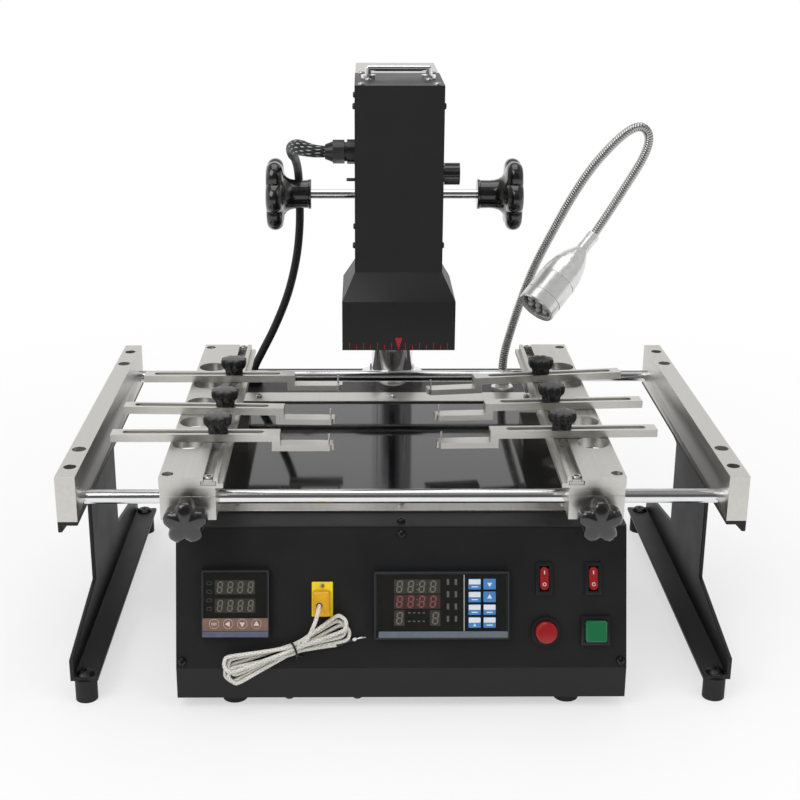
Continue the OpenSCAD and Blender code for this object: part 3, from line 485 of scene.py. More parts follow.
def panel_point(x, t, n):
    return on_panel(x, t, n).translation


def at(x, y, z):
    return Matrix.Translation((x, y, z))


def turned_about(axis, angle):
    return Matrix.Rotation(angle, 4, axis)


def facing(origin, direction):
    """Place whose Z runs along the direction."""
    return Matrix.Translation(origin) @ Vector(direction).to_track_quat("Z", "Y").to_matrix().to_4x4()


def seen_from_front(x, y, z):
    """Place on a face that looks to the front, with X to the right and Y up."""
    return Matrix(((1, 0, 0, x), (0, 0, -1, y), (0, 1, 0, z), (0, 0, 0, 1)))


def smooth_route(points, steps):
    """The same smooth curve through the points that the CAD source draws."""
    p = [Vector(q) for q in points]
    out = []
    for i in range(len(p) - 1):
        a, b, c, d = p[max(i - 1, 0)], p[i], p[i + 1], p[min(i + 2, len(p) - 1)]
        for k in range(steps):
            u = k / steps
            out.append(0.5 * (2 * b + (c - a) * u + (2 * a - 5 * b + 4 * c - d) * u ** 2
                              + (3 * b - a - 3 * c + d) * u ** 3))
    return out + [p[-1]]


def distances(points):
    """Distance of each point from the first, along the route."""
    run = [0.0]
    for a, b in zip(points, points[1:]):
        run.append(run[-1] + (b - a).length)
    return run


def even(points, step):
    """The route again with points at even distances."""
    run = distances(points)
    count = max(2, int(round(run[-1] / step)))
    out, k = [], 0
    for i in range(count + 1):
        s = run[-1] * i / count
        while k < len(run) - 2 and run[k + 1] < s:
            k += 1
        span = run[k + 1] - run[k]
        out.append(points[k].lerp(points[k + 1], (s - run[k]) / span if span > 0 else 0.0))
    return out


def rings_along(path, radii, count):
    """Rings of points round a route, carried along it without twist."""
    last = len(path) - 1
    side = Vector((0.31, 0.9, 0.23))
    rings = []
    for i, spot in enumerate(path):
        ahead = (path[min(i + 1, last)] - path[max(i - 1, 0)]).normalized()
        side = (side - ahead * side.dot(ahead)).normalized()
        other = ahead.cross(side)
        radius = radii if isinstance(radii, (int, float)) else radii[i]
        rings.append([spot + radius * (math.cos(2 * math.pi * j / count) * side
                                       + math.sin(2 * math.pi * j / count) * other) for j in range(count)])
    return rings


def wall_faces(rows, count):
    """Faces between rows of points, where each row is a closed ring."""
    faces = []
    for i in range(rows - 1):
        here, above = i * count, (i + 1) * count
        for j in range(count):
            after = (j + 1) % count
            faces.append((here + j, here + after, above + after, above + j))
    return faces


def end_faces(rows, count):
    """The two faces that close the first and the last ring."""
    return [tuple(reversed(range(count))), tuple(range((rows - 1) * count, rows * count))]


def linked(name, mesh):
    made = bpy.data.objects.new(name, mesh)
    bpy.context.scene.collection.objects.link(made)
    return made


class Stock:
    """Gathers closed forms, each with its finish, and makes one piece of them."""

    def __init__(self):
        self.points, self.faces, self.used, self.which = [], [], [], []

    def add(self, points, faces, made_of, place=None):
        base = len(self.points)
        for p in points:
            p = Vector(p)
            self.points.append((place @ p if place else p) * MM)
        if made_of not in self.used:
            self.used.append(made_of)
        for face in faces:
            self.faces.append([base + i for i in face])
            self.which.append(self.used.index(made_of))

    def stacked(self, rings, made_of, place=None, caps=True):
        """Rings of points joined by walls, with closed ends unless the last ring meets the first."""
        rows, count = len(rings), len(rings[0])
        faces = wall_faces(rows, count) + (end_faces(rows, count) if caps else [])
        self.add([p for ring in rings for p in ring], faces, made_of, place)

    def plate(self, outline, z0, z1, made_of, place=None, edge=0.0):
        """A plate, with its upper edge broken where an edge is given."""
        rows = [(outline, z0), (outline, z1 - edge)] + ([(inset(outline, edge), z1)] if edge else [])
        self.stacked([[(x, y, z) for x, y in row] for row, z in rows], made_of, place)

    def frame(self, outline, width, z0, z1, made_of, place=None):
        """A flat frame as wide as given, inside the outline."""
        inner = inset(outline, width)
        rows = [(outline, z0), (outline, z1), (inner, z1), (inner, z0), (outline, z0)]
        self.stacked([[(x, y, z) for x, y in row] for row, z in rows], made_of, place, caps=False)

    def turned(self, rows, made_of, place=None, count=32):
        """A turned form from rows of radius, height and, where it isn't round, the shape of that row."""
        angles = [2 * math.pi * i / count for i in range(count)]
        rings = []
        for radius, z, *form in rows:
            reach = [radius * form[0](a) if form else radius for a in angles]
            rings.append([(r * math.cos(a), r * math.sin(a), z) for r, a in zip(reach, angles)])
        self.stacked(rings, made_of, place)

    def swept(self, path, radii, made_of, count=10):
        self.stacked(rings_along(path, radii, count), made_of)

    def pan_screw(self, place, radius, made_of):
        """A domed screw with a cross recess."""
        r = radius
        self.turned([(r, -0.2), (r, 0.35 * r), (0.86 * r, 0.58 * r), (0.6 * r, 0.7 * r, cross),
                     (0.55 * r, 0.2 * r, cross), (0.01, 0.15 * r)], made_of, place, count=48)

    def cap_screw(self, place, radius, made_of):
        """A socket screw with a hexagon recess; its top is at the place."""
        r = radius
        self.turned([(r, -0.9 * r), (r, -0.12 * r), (0.9 * r, 0.0), (0.58 * r, 0.0, hexagon),
                     (0.55 * r, -0.6 * r, hexagon), (0.01, -0.62 * r)], made_of, place, count=48)

    def piece(self, name, body, slot=None, angle=35.0):
        """One mesh of all that was added, riding on its body; edges sharper than the angle stay crisp."""
        mesh = bpy.data.meshes.new(name)
        mesh.from_pydata(self.points, [], self.faces)
        for made_of in self.used:
            mesh.materials.append(made_of)
        mesh.polygons.foreach_set("material_index", self.which)
        mesh.validate()
        mesh.shade_smooth()
        mesh.set_sharp_from_angle(angle=math.radians(angle))
        made = linked(name, mesh)
        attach(made, body)
        return made


def tube_piece(name, path, radii, count, made_of):
    """A closed tube with a map: once round it, and metres along it."""
    path = [p * MM for p in path]
    radii = radii * MM if isinstance(radii, (int, float)) else [r * MM for r in radii]
    rings = rings_along(path, radii, count)
    run = distances(path)
    places = []
    for near, far in zip(run, run[1:]):
        for j in range(count):
            here, after = j / count, (j + 1) / count
            places += [(here, near), (after, near), (after, far), (here, far)]
    places += [(k / count, 0.0) for k in range(count)] * 2
    mesh = bpy.data.meshes.new(name)
    mesh.from_pydata([p for ring in rings for p in ring], [],
                     wall_faces(len(rings), count) + end_faces(len(rings), count))
    chart = mesh.uv_layers.new(name="around_along")
    for loop, spot in zip(chart.data, places):
        loop.uv = spot
    mesh.materials.append(made_of)
    mesh.shade_smooth()
    mesh.set_sharp_from_angle(angle=math.radians(60))
    return linked(name, mesh), path


def dress(node, made_of, edge=None, segments=1):
    """Gives a CAD node its finish and breaks its edges; the node's own points stay as they are.

    An edge of 0 leaves the edges as they are. With more than one segment the shading runs round them.
    """
    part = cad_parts[node]
    mesh = part.data
    mesh.materials.clear()
    mesh.materials.append(made_of)
    if edge == 0:
        return
    old = mesh.attributes.get("custom_normal")
    if old:
        mesh.attributes.remove(old)
    mesh.shade_smooth()
    weld = part.modifiers.new("joined", "WELD")
    weld.merge_threshold = 0.01 * MM
    broken = part.modifiers.new("broken_edges", "BEVEL")
    broken.width = sizes().edge if edge is None else edge * MM
    broken.segments = segments
    broken.limit_method = "ANGLE"
    broken.angle_limit = math.radians(32)
    broken.use_clamp_overlap = True
    broken.miter_outer = "MITER_ARC"
    if segments > 1:
        plain = part.modifiers.new("round_shading", "WEIGHTED_NORMAL")
        plain.mode = "FACE_AREA_WITH_ANGLE"
        plain.weight = 100
    else:
        plain = part.modifiers.new("plain_faces", "EDGE_SPLIT")
        plain.split_angle = math.radians(31)
        plain.use_edge_sharp = False


# Operators


class STATION_OT_stage(bpy.types.Operator):
    """Lays the floor, sets the lights and the camera"""

    bl_idname = "station.stage"
    bl_label = "Stage"

    def execute(self, context):
        scene = context.scene
        scene.view_settings.view_transform = "Standard"
        self.light_world(scene)
        self.lay_floor()
        self.hang_lamps()
        self.set_camera(scene)
        return {"FINISHED"}

    def light_world(self, scene):
        """An even room for the light, and a toned one for what is seen or reflected."""
        scene.world = bpy.data.worlds.new("studio")
        tree = blank_tree(scene.world)
        room = add_node(tree, "Background", {"Color": WHITE, "Strength": 0.5})
        seen = add_node(tree, "Background", {"Color": WHITE, "Strength": self.room_tone(tree)})
        mix = add_node(tree, "MixShader", {0: self.direct_rays(tree), 1: room.outputs[0], 2: seen.outputs[0]})
        add_node(tree, "OutputWorld", {"Surface": mix.outputs[0]})

    def room_tone(self, tree):
        """White to look at; in reflections the ceiling and the room's front and right ends are darker."""
        place = add_node(tree, "TexCoord")
        split = add_node(tree, "SeparateXYZ", {"Vector": place.outputs["Generated"]})
        ceiling = faded(tree, split.outputs["Z"], (0.35, 0.72), (1.0, 0.28), "SMOOTHSTEP")
        front = faded(tree, split.outputs["Y"], (-0.85, -0.1), (0.1, 1.0), "SMOOTHSTEP")
        right = faded(tree, split.outputs["X"], (0.25, 0.75), (1.0, 0.4), "SMOOTHSTEP")
        tone = maths(tree, "MINIMUM", maths(tree, "MINIMUM", ceiling, front), right)
        return maths(tree, "MAXIMUM", tone, add_node(tree, "LightPath").outputs["Is Camera Ray"])

    def direct_rays(self, tree):
        """1 for rays that are seen, mirrored or pass through glass, and 0 for those that only light."""
        path = add_node(tree, "LightPath")
        mirrored = maths(tree, "MAXIMUM", path.outputs["Is Camera Ray"], path.outputs["Is Glossy Ray"])
        return maths(tree, "MAXIMUM", mirrored, path.outputs["Is Transmission Ray"])

    def lay_floor(self):
        """A wide round sheet, finer near the middle."""
        radii = [0.3 * 1.35 ** i for i in range(14)]
        count = 48
        points = [(0, 0, 0)] + [(x, y, 0) for r in radii for x, y in disc(r, count)]
        faces = [(0, 1 + j, 1 + (j + 1) % count) for j in range(count)]
        for i in range(len(radii) - 1):
            a, b = 1 + i * count, 1 + (i + 1) * count
            faces += [(a + j, b + j, b + (j + 1) % count, a + (j + 1) % count) for j in range(count)]
        mesh = bpy.data.meshes.new("floor")
        mesh.from_pydata(points, [], faces)
        mesh.materials.append(self.pale_floor())
        linked("floor", mesh)

    def pale_floor(self):
        """Matt where it takes the object's shadow, and white further out."""
        made = bpy.data.materials.new("pale_floor")
        tree = blank_tree(made)
        matt = add_node(tree, "BsdfDiffuse", {"Color": (0.88, 0.88, 0.88, 1)})
        white = add_node(tree, "Emission", {"Color": WHITE, "Strength": 1.0})
        place = add_node(tree, "TexCoord").outputs["Object"]
        far = add_node(tree, "VectorMath", {0: place}, operation="LENGTH")
        fade = faded(tree, far.outputs["Value"], (0.2, 0.9), (0.55, 1.0))
        share = maths(tree, "MULTIPLY", fade, self.front_edge(tree, place))
        mix = add_node(tree, "MixShader", {0: share, 1: matt.outputs[0], 2: white.outputs[0]})
        add_node(tree, "OutputMaterial", {"Surface": mix.outputs[0]})
        return made

    def front_edge(self, tree, place):
        """White to look at; in reflections the white sheet ends in front of the object, in a dark room."""
        split = add_node(tree, "SeparateXYZ", {"Vector": place})
        sheet = faded(tree, split.outputs["Y"], (-0.70, -0.38), (0.1, 1.0), "SMOOTHSTEP")
        shown = maths(tree, "MAXIMUM", sheet, add_node(tree, "LightPath").outputs["Is Camera Ray"])
        return maths(tree, "MULTIPLY", shown, self.direct_rays(tree))

    def hang_lamps(self):
        """Four square lamps; those in front and overhead also show in reflections."""
        for name, spot, aim, wide, power, mirrored in (
            ("key_lamp", (-1.1, -1.2, 1.7), (0, 0, 0.15), 1.3, 17.0, True),
            ("fill_lamp", (1.4, -0.9, 1.3), (0, 0, 0.15), 1.4, 9.0, False),
            ("top_lamp", (0.0, 0.3, 2.1), (0, 0, 0.1), 1.6, 13.0, True),
            ("back_lamp", (0.3, 1.6, 1.5), (0, 0, 0.2), 1.2, 5.0, False),
        ):
            lamp = bpy.data.lights.new(name, "AREA")
            lamp.shape = "SQUARE"
            lamp.size = wide
            lamp.energy = power
            made = linked(name, lamp)
            made.visible_glossy = mirrored
            made.location = spot
            made.rotation_mode = "QUATERNION"
            made.rotation_quaternion = (Vector(aim) - Vector(spot)).to_track_quat("-Z", "Y")

    def set_camera(self, scene):
        eye = (-0.028, -1.0925, 0.540)
        down_tilt, swing, roll = math.radians(18.885), math.radians(0.589), math.radians(-0.128)
        ahead = Vector((math.sin(swing) * math.cos(down_tilt), math.cos(swing) * math.cos(down_tilt),
                        -math.sin(down_tilt)))
        level = Vector((math.cos(swing), -math.sin(swing), 0))
        below = ahead.cross(level)
        right = math.cos(roll) * level + math.sin(roll) * below
        down = -math.sin(roll) * level + math.cos(roll) * below
        lens = bpy.data.cameras.new("camera")
        lens.sensor_width = 36.0
        lens.lens = 64.053
        lens.shift_x = 0.0302
        lens.shift_y = 0.000675
        lens.clip_start, lens.clip_end = 0.05, 60.0
        camera = linked("camera", lens)
        camera.matrix_world = at(*eye) @ Matrix((right, -down, -ahead)).transposed().to_4x4()
        scene.camera = camera


class STATION_OT_sensor_lead(bpy.types.Operator):
    """Winds the white sensor lead into its tied hank, with its tie and probe"""

    bl_idname = "station.sensor_lead"
    bl_label = "Sensor lead"

    def execute(self, context):
        radius = sizes().lead_radius / MM
        path = even(smooth_route(self.route(), 8), 1.1)
        sleeve = braided("white_glass_braid", colours().braid, 4, 0.0042, 0.72, 0.62)
        lead, run = tube_piece("sensor_lead", path, radius, 10, sleeve)
        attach(lead, "base")
        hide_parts("sensor_wire", "sensor_hank")
        tie = self.make_tie()
        probe = self.make_probe(path[-1], (path[-1] - path[-4]).normalized())
        return {"FINISHED"}

    def route(self):
        """From the plug down to the tie, through the hank's loops, and out to the probe."""
        fold = sizes().fold_radius / MM
        hank = on_panel(*HANK, 0, HANK_TURN)

        def spot(along, across, out):
            return hank @ Vector((along, across, out))

        from_plug = ((-58, 46.8, 14.6), (-58, 46.6, 19.5), (-58.6, 44, 24), (-61, 36, 25.5), (-66, 25, 21),
                     (-71.5, 18, 14))
        points = [panel_point(*p) for p in from_plug]
        # Place of each lane in the tie: across the hank, and out from the panel
        lanes = [(2.85, 7.8), (0, 7.8), (2.85, 5.05), (0, 5.05), (2.85, 2.3), (0, 2.3), (-2.85, 2.3),
                 (-2.85, 5.05)]
        # End of each loop along the hank, its middle across, its height, and the side the lead comes in on
        ends = [(-44.5, 6.0, 7.6, 1), (46.8, 5.2, 6.4, -1), (-42.8, 3.2, 4.7, 1), (44.6, 1.6, 3.6, -1),
                (-47.0, -0.8, 1.9, 1), (46.2, -2.4, 1.9, 1), (-44.6, -2.9, 4.6, -1)]
        for k, (v, n) in enumerate(lanes):
            side = 1 if k % 2 == 0 else -1
            points += [spot(TIE_ALONG + 4 * side, v, n), spot(TIE_ALONG - 4 * side, v, n)]
            if k == len(ends):
                break
            end, middle, level, first = ends[k]
            next_v, next_n = lanes[k + 1]
            half = (TIE_ALONG + end) / 2
            points.append(spot(half, (v + middle + first * fold) / 2, (n + level) / 2))
            for step in range(5):
                angle = math.pi * step / 4
                points.append(spot(end + side * fold * (1 - math.sin(angle)),
                                   middle + first * fold * math.cos(angle),
                                   level + (n - next_n) * 0.2 * math.cos(angle)))
            points.append(spot(half, (next_v + middle - first * fold) / 2, (next_n + level) / 2))
        return points + [spot(21, -5.4, 3.2), spot(34.2, -8.7, 2.0)]

    def make_tie(self):
        """A black wire twisted round the hank's waist."""
        place = on_panel(*HANK, 0, HANK_TURN)
        half_wide, low, high = 5.1, 0.75, 9.9
        stock = Stock()
        loop = []
        for i in range(41):
            a = 2 * math.pi * i / 40 + 0.9
            c, s = math.cos(a), math.sin(a)
            across = half_wide * math.copysign(abs(c) ** 0.7, c)
            out = (high + low) / 2 + (high - low) / 2 * math.copysign(abs(s) ** 0.7, s)
            loop.append(place @ Vector((TIE_ALONG + 1.2 * s, across - 0.4, out)))
        stock.swept(loop, 0.75, tie_wire())
        for side in (-1, 1):
            tail = ((TIE_ALONG, -5.0, 2.0), (6 + side, -6.6, 1.6), (6.5 + 2.2 * side, -8.2, 1.0))
            stock.swept(smooth_route([place @ Vector(p) for p in tail], 5), 0.6, tie_wire())
        return stock.piece("lead_tie", "base")

    def make_probe(self, start, ahead):
        """A black shrink sleeve on the lead's end, then a white bead and the bright tip."""
        stock = Stock()
        route = even(smooth_route([start - ahead * 1.5, start + ahead * 3, panel_point(-40, 18.8, 1.7),
                                   panel_point(-34, 20.6, 1.6), panel_point(-28.5, 22.0, 1.7)], 8), 0.6)
        end = len(route) * 3 // 5 + 3
        stock.swept(route[:end], [1.15 if i < 4 else 1.0 for i in range(end)], shrink_sleeve(), 12)
        stock.swept(route[end - 2:], 0.42, steel(), 8)
        tip = even(smooth_route([route[-6], route[-1], panel_point(-25.3, 22.3, 1.7)], 6), 0.5)
        swell = [0.5 + 0.25 * math.sin(math.pi * i / (len(tip) - 1)) for i in range(len(tip))]
        stock.swept(tip, swell, steel(), 10)
        bead = (0.85, 1.15, 1.25, 1.2, 1.0, 0.7)
        stock.swept(route[end - 1: end - 1 + len(bead)], bead, white_ferrule(), 10)
        return stock.piece("lead_probe", "base")


class STATION_OT_head_cable(bpy.types.Operator):
    """Runs the head's braided cable from its gland down to the deck"""

    bl_idname = "station.head_cable"
    bl_label = "Head cable"

    def execute(self, context):
        route = [(-55.9, 10, 366), (-66, 11, 366.5), (-77, 24, 367), (-84, 52, 362), (-85.5, 86, 352),
                 (-84.5, 120, 342), (-83.5, 145, 328), (-83, 156, 306), (-83.5, 160, 276), (-87, 160, 246),
                 (-95, 160, 214), (-107, 160, 184), (-119, 160, 160), (-126.5, 160, 145), (-128, 160, 136),
                 (-128, 160, 128.8)]
        path = even(smooth_route(route, 12), 1.5)
        radius = sizes().cable_radius / MM
        radii = [radius * self.thickness(i / (len(path) - 1)) for i in range(len(path))]
        light_strand = (0.42, 0.43, 0.45)
        sleeve = braided("woven_cable_sleeve", colours().sleeve, 11, 0.011, 0.5, 0.35, light_strand, 0.036)
        cable, run = tube_piece("braided_cable", path, radii, 18, sleeve)
        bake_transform(cable)
        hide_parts("head_cable")
        return {"FINISHED"}

    def thickness(self, share):
        """The sleeve bulges near the gland and is drawn tighter below."""
        bulge = 0.5 * math.exp(-((share - 0.085) / 0.06) ** 2)
        tight = 0.14 * min(1.0, max(0.0, (share - 0.2) / 0.15))
        return 1.0 - tight + bulge


class STATION_OT_cabinet(bpy.types.Operator):
    """Finishes the cabinet, its deck and feet, and sets their screws"""

    bl_idname = "station.cabinet"
    bl_label = "Cabinet"

    def execute(self, context):
        dress("body_shell", powder_coat(), 0.6)
        for node in ("front_panel", "top_plate"):
            dress(node, powder_coat(), 0)
        dress("rubber_feet", rubber(), 0.8)
        dress("glass_strips", aluminium(), 0.3)
        radius = sizes().screw_radius / MM
        stock = Stock()
        for x, t in ((-156, 5), (156, 5), (0, 95.5)):
            stock.pan_screw(on_panel(x, t), radius, dark_steel())
        stock.pan_screw(at(0, -156, DECK_Z), radius, dark_steel())
        glass_front, _, glass_back = corners("glass_plate")
        strip_top = corners("glass_strips")[2].z
        for y in (glass_front.y, glass_back.y):
            for x in (-120, 0, 120):
                stock.pan_screw(at(x, y, strip_top), radius, steel())
        grommet = [(9.4, 0), (9.4, 1.2), (8.2, 2.6), (5.6, 2.6), (5.0, 1.4), (5.0, 0)]
        plinth_top = corners("top_plate")[2].z - 0.2
        stock.turned(grommet, rubber(), at(*CABLE_HOLE, plinth_top), count=36)
        shell_low = corners("body_shell")[0]
        stud = [(3.6, -0.2), (3.6, 2.4), (2.8, 3.2), (0.01, 3.3)]
        for x in (-80.5, -31.5):
            under_edge = facing((x, shell_low.y + 6, shell_low.z), (0, 0, -1))
            stock.turned(stud, dark_steel(), under_edge, count=24)
        stock.piece("cabinet_screws", "base")
        return {"FINISHED"}


class STATION_OT_heater_glass(bpy.types.Operator):
    """Finishes the black glass and the ceramic bars under it"""

    bl_idname = "station.heater_glass"
    bl_label = "Heater glass"

    def execute(self, context):
        dress("glass_plate", black_glass(), 0.6)
        dress("lower_heaters", ceramic(), 1.0)
        return {"FINISHED"}


def controller_window(stock, wide, place):
    """A controller's dark window, and a pale line painted round its bezel's rim as a highlight; both
    controllers are 48 mm high.
    """
    high = 48.0
    stock.plate(round_rect(wide - 4.4, high - 4.4, 1.0), FACE - 0.1, FACE + 0.05, window(), place, 0.04)
    # painted highlight: a pale line round the bezel's rim
    stock.frame(round_rect(wide - 1.0, high - 1.0, 1.2), 0.45, BEZEL, BEZEL + 0.18, painted_rim_highlight(), place)


def inlay(stock, wide, high, radius, made_of, place):
    """A thin plate on a controller's window."""
    stock.plate(round_rect(wide, high, radius), FACE, FACE + INK, made_of, place, 0.05)


def digit(stock, x, t, wide, high, bar, made_of):
    """One unlit seven-segment digit on a display, leaning to the right; its lower left corner is at x, t."""
    slant = 0.12
    lean = Matrix(((1, slant, 0, 0), (0, 1, 0, 0), (0, 0, 1, 0), (0, 0, 0, 1)))
    place = on_panel(x, t, FACE + INK) @ lean
    gap, b = bar * 0.16, bar / 2

    def segment(x0, y0, x1, y1):
        ahead = Vector((x1 - x0, y1 - y0)).normalized()
        side = Vector((-ahead.y, ahead.x))
        a, c = Vector((x0, y0)) + ahead * gap, Vector((x1, y1)) - ahead * gap
        outline = [a, a + ahead * b - side * b, c - ahead * b - side * b, c, c - ahead * b + side * b,
                   a + ahead * b + side * b]
        stock.plate([tuple(p) for p in outline], 0, 0.12, made_of, place)

    half = high / 2
    for y in (b, half, high - b):
        segment(b, y, wide - b, y)
    for x in (b, wide - b):
        segment(x, b, x, half)
        segment(x, half, x, high - b)


class STATION_OT_small_controller(bpy.types.Operator):
    """Fits the small controller's displays, key strip and keys"""

    bl_idname = "station.small_controller"
    bl_label = "Small controller"

    def execute(self, context):
        dress("lower_controller", bezel_plastic())
        middle = corners("lower_controller")[1].x
        stock = Stock()
        controller_window(stock, 48.0, on_panel(middle, 46.8))
        display_feet = (54.0, 40.9)
        for t in display_feet:
            inlay(stock, 28.6, 10.0, 0.5, olive_display(), on_panel(middle - 0.2, t + 4.65))
            for i in range(4):
                digit(stock, middle - 13.3 + 7.2 * i, t + 0.5, 4.0, 8.3, 0.95, unlit_digit())
        ring = printed("lamp_ring", (0.05, 0.052, 0.056))
        for i in range(4):
            stock.frame(round_rect(4.0, 2.6, 1.25), 0.4, FACE, FACE + INK, ring,
                        on_panel(middle - 18.3, 61.5 - 6.03 * i))
        blue_grey = painted_strip("blue_grey_strip", colours().foot_strip)
        stock.plate(round_rect(46.4, 9.0, 0.5), FACE, STRIP, key_strip(), on_panel(middle, 32.2), 0.12)
        stock.plate(round_rect(46.4, 4.0, 0.5), FACE, STRIP, blue_grey, on_panel(middle, 25.4), 0.12)
        for i, heading in enumerate((None, math.pi, -math.pi / 2, math.pi / 2)):
            self.fit_key(stock, on_panel(middle - 15.0 + 10.0 * i, 32.8), heading)
        stock.piece("small_controller_face", "base")
        return {"FINISHED"}

    def fit_key(self, stock, spot, heading):
        """A round key with an arrow, or with two rings where it has no heading."""
        pale = printed("key_mark", (0.62, 0.56, 0.52))
        stock.turned([(3.3, 6.5), (3.3, 6.75), (3.0, 6.98), (0.01, 7.06)], key_strip(), spot, count=36)
        stock.frame(disc(3.5, 36), 0.35, 6.6, 6.72, pale, spot)
        low, high = 6.9, 7.14
        if heading is not None:
            stock.plate(triangle(2.3, heading), low, high, pale, spot)
            return
        for side in (-1, 1):
            stock.frame(disc(0.95, 24), 0.35, low, high, pale, spot @ at(0.9 * side, 0, 0))


class STATION_OT_wide_controller(bpy.types.Operator):
    """Fits the wide controller's displays, lamps and keys"""

    bl_idname = "station.wide_controller"
    bl_label = "Wide controller"

    def execute(self, context):
        dress("upper_controller", bezel_plastic(), 0.4)
        middle = corners("upper_controller")[1].x
        stock = Stock()
        controller_window(stock, 96.0, on_panel(middle, 45.3))
        self.fit_displays(stock)
        self.fit_lamps(stock)
        divider = printed("pale_divider", (0.5, 0.52, 0.55))
        stock.plate(round_rect(0.5, 40.0, 0.2), FACE, FACE + 0.12, divider, on_panel(44.1, 47.0))
        for column in (0, 1):
            for row in range(4):
                self.fit_key(stock, column, row)
        bar = painted_strip("grey_blue_bar", (0.13, 0.15, 0.175))
        stock.plate(round_rect(91.4, 4.4, 0.5), FACE, STRIP, bar, on_panel(middle + 1.0, 24.8), 0.12)
        stock.piece("wide_controller_face", "base")
        return {"FINISHED"}

    def fit_displays(self, stock):
        """Two rows of four digits with a colon, and a single digit at each end of the third row."""
        red = printed("unlit_red_digit", colours().digit_red)
        rust = display_glass("red_display", (0.055, 0.03, 0.028))
        middle = 10.9
        for t, fill, ink in ((53.9, olive_display(), unlit_digit()), (43.2, rust, red)):
            inlay(stock, 32.8, 10.0, 0.5, fill, on_panel(middle, t + 4.9))
            for i in range(4):
                digit(stock, middle - 15.2 + 7.9 * i, t + 0.6, 4.4, 8.6, 1.05, ink)
            for up in (2.8, 6.4):
                stock.plate(disc(0.5, 16), FACE + 0.1, FACE + 0.26, ink, on_panel(middle, t + up))
        for left in (-5.4, 20.0):
            inlay(stock, 7.4, 11.0, 0.4, olive_display(), on_panel(left + 3.6, 36.4))
            digit(stock, left + 1.0, 32.0, 4.6, 8.8, 1.05, unlit_digit())

    def fit_lamps(self, stock):
        """Small bars between the single digits, and upright ones beside the displays."""
        lamp = printed("lamp_bar", (0.10, 0.105, 0.11))
        for i in range(4):
            for t in (40.2, 34.2):
                stock.plate(round_rect(1.7, 0.9, 0.3), FACE, FACE + 0.16, lamp, on_panel(5.3 + 3.4 * i, t))
        for i in range(4):
            for x in (32.7, 38.3):
                inlay(stock, 1.7, 4.2, 0.3, lamp, on_panel(x, 62.0 - 8.7 * i))

    def fit_key(self, stock, column, row):
        """A blue key with an arrow, or a half white one with a small mark."""
        blue = gloss_plastic("blue_key", colours().key_blue)
        white = gloss_plastic("white_key", colours().key_white)
        mark = printed("white_mark", (0.75, 0.78, 0.8))
        spot = on_panel(51.5 + 10.6 * column, 60.5 - 9.03 * row)
        low, high = 6.9, 7.03
        stock.plate(round_rect(8.7, 7.5, 0.6), FACE, 6.95, blue, spot, 0.25)
        if column == 1 and row < 2:
            heading = -math.pi / 2 if row == 0 else math.pi / 2
            stock.plate(triangle(2.0, heading), low, high, mark, spot)
            return
        stock.plate(round_rect(8.3, 3.6, 0.45), 6.8, 7.02, white, spot @ at(0, 1.7, 0), 0.08)
        if column == 0 and row == 3:
            stock.plate(triangle(1.3, math.pi / 2), low, high, mark, spot @ at(0, -1.9, 0))
        else:
            stock.plate(round_rect(4.4, 0.7, 0.2), low, high, mark, spot @ at(0, -1.8, 0))


def rocker_half(half):
    """Outline of one half of a rocker's face, from its waist to a round end."""
    reach, radius, waist = 5.1, 3.0, 0.2
    angles = [math.pi * i / 12 for i in range(13)]
    outline = [(-radius, -half * waist), (radius, -half * waist)]
    outline += [(radius * math.cos(a), half * (reach + radius * math.sin(a))) for a in angles]
    return outline if half > 0 else outline[::-1]


class STATION_OT_switches(bpy.types.Operator):
    """Finishes the push buttons and makes the two rockers with their marks"""

    bl_idname = "station.switches"
    bl_label = "Switches"

    def execute(self, context):
        dress("panel_bezels", gloss_plastic("switch_frame_plastic", colours().bezel), 0.3)
        red = gloss_plastic("red_button", colours().stop)
        dress("stop_button", red)
        dress("start_button", gloss_plastic("green_button", colours().start), 0.9)
        for node in ("light_rocker", "fan_rocker"):
            self.make_rocker(node, red)
        return {"FINISHED"}

    def make_rocker(self, node, red):
        """Two sloping halves that meet in a crest, with a bar on the upper one and a ring on the lower."""
        mark = printed("rocker_mark", (0.72, 0.68, 0.66))
        slope, crest, mark_up = math.atan2(1.4, 8.0), 2.8, 4.2
        tilt = on_panel(corners(node)[1].x, 63.5, -1) @ turned_about("X", math.radians(-7))
        stock = Stock()
        for half in (1, -1):
            face = tilt @ at(0, 0, crest) @ turned_about("X", half * slope)
            stock.plate(rocker_half(half), -4.6, 0.0, red, face, 0.2)
        mark_out = crest + mark_up * math.tan(slope)
        upper = tilt @ at(0, mark_up, mark_out) @ turned_about("X", slope)
        lower = tilt @ at(0, -mark_up, mark_out) @ turned_about("X", -slope)
        stock.plate(round_rect(0.7, 2.6, 0.3), -0.1, 0.08, mark, upper)
        stock.frame(disc(1.3, 24), 0.4, -0.1, 0.08, mark, lower)
        key = stock.piece(node + "_key", node, "red_plastic")
        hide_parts(node)


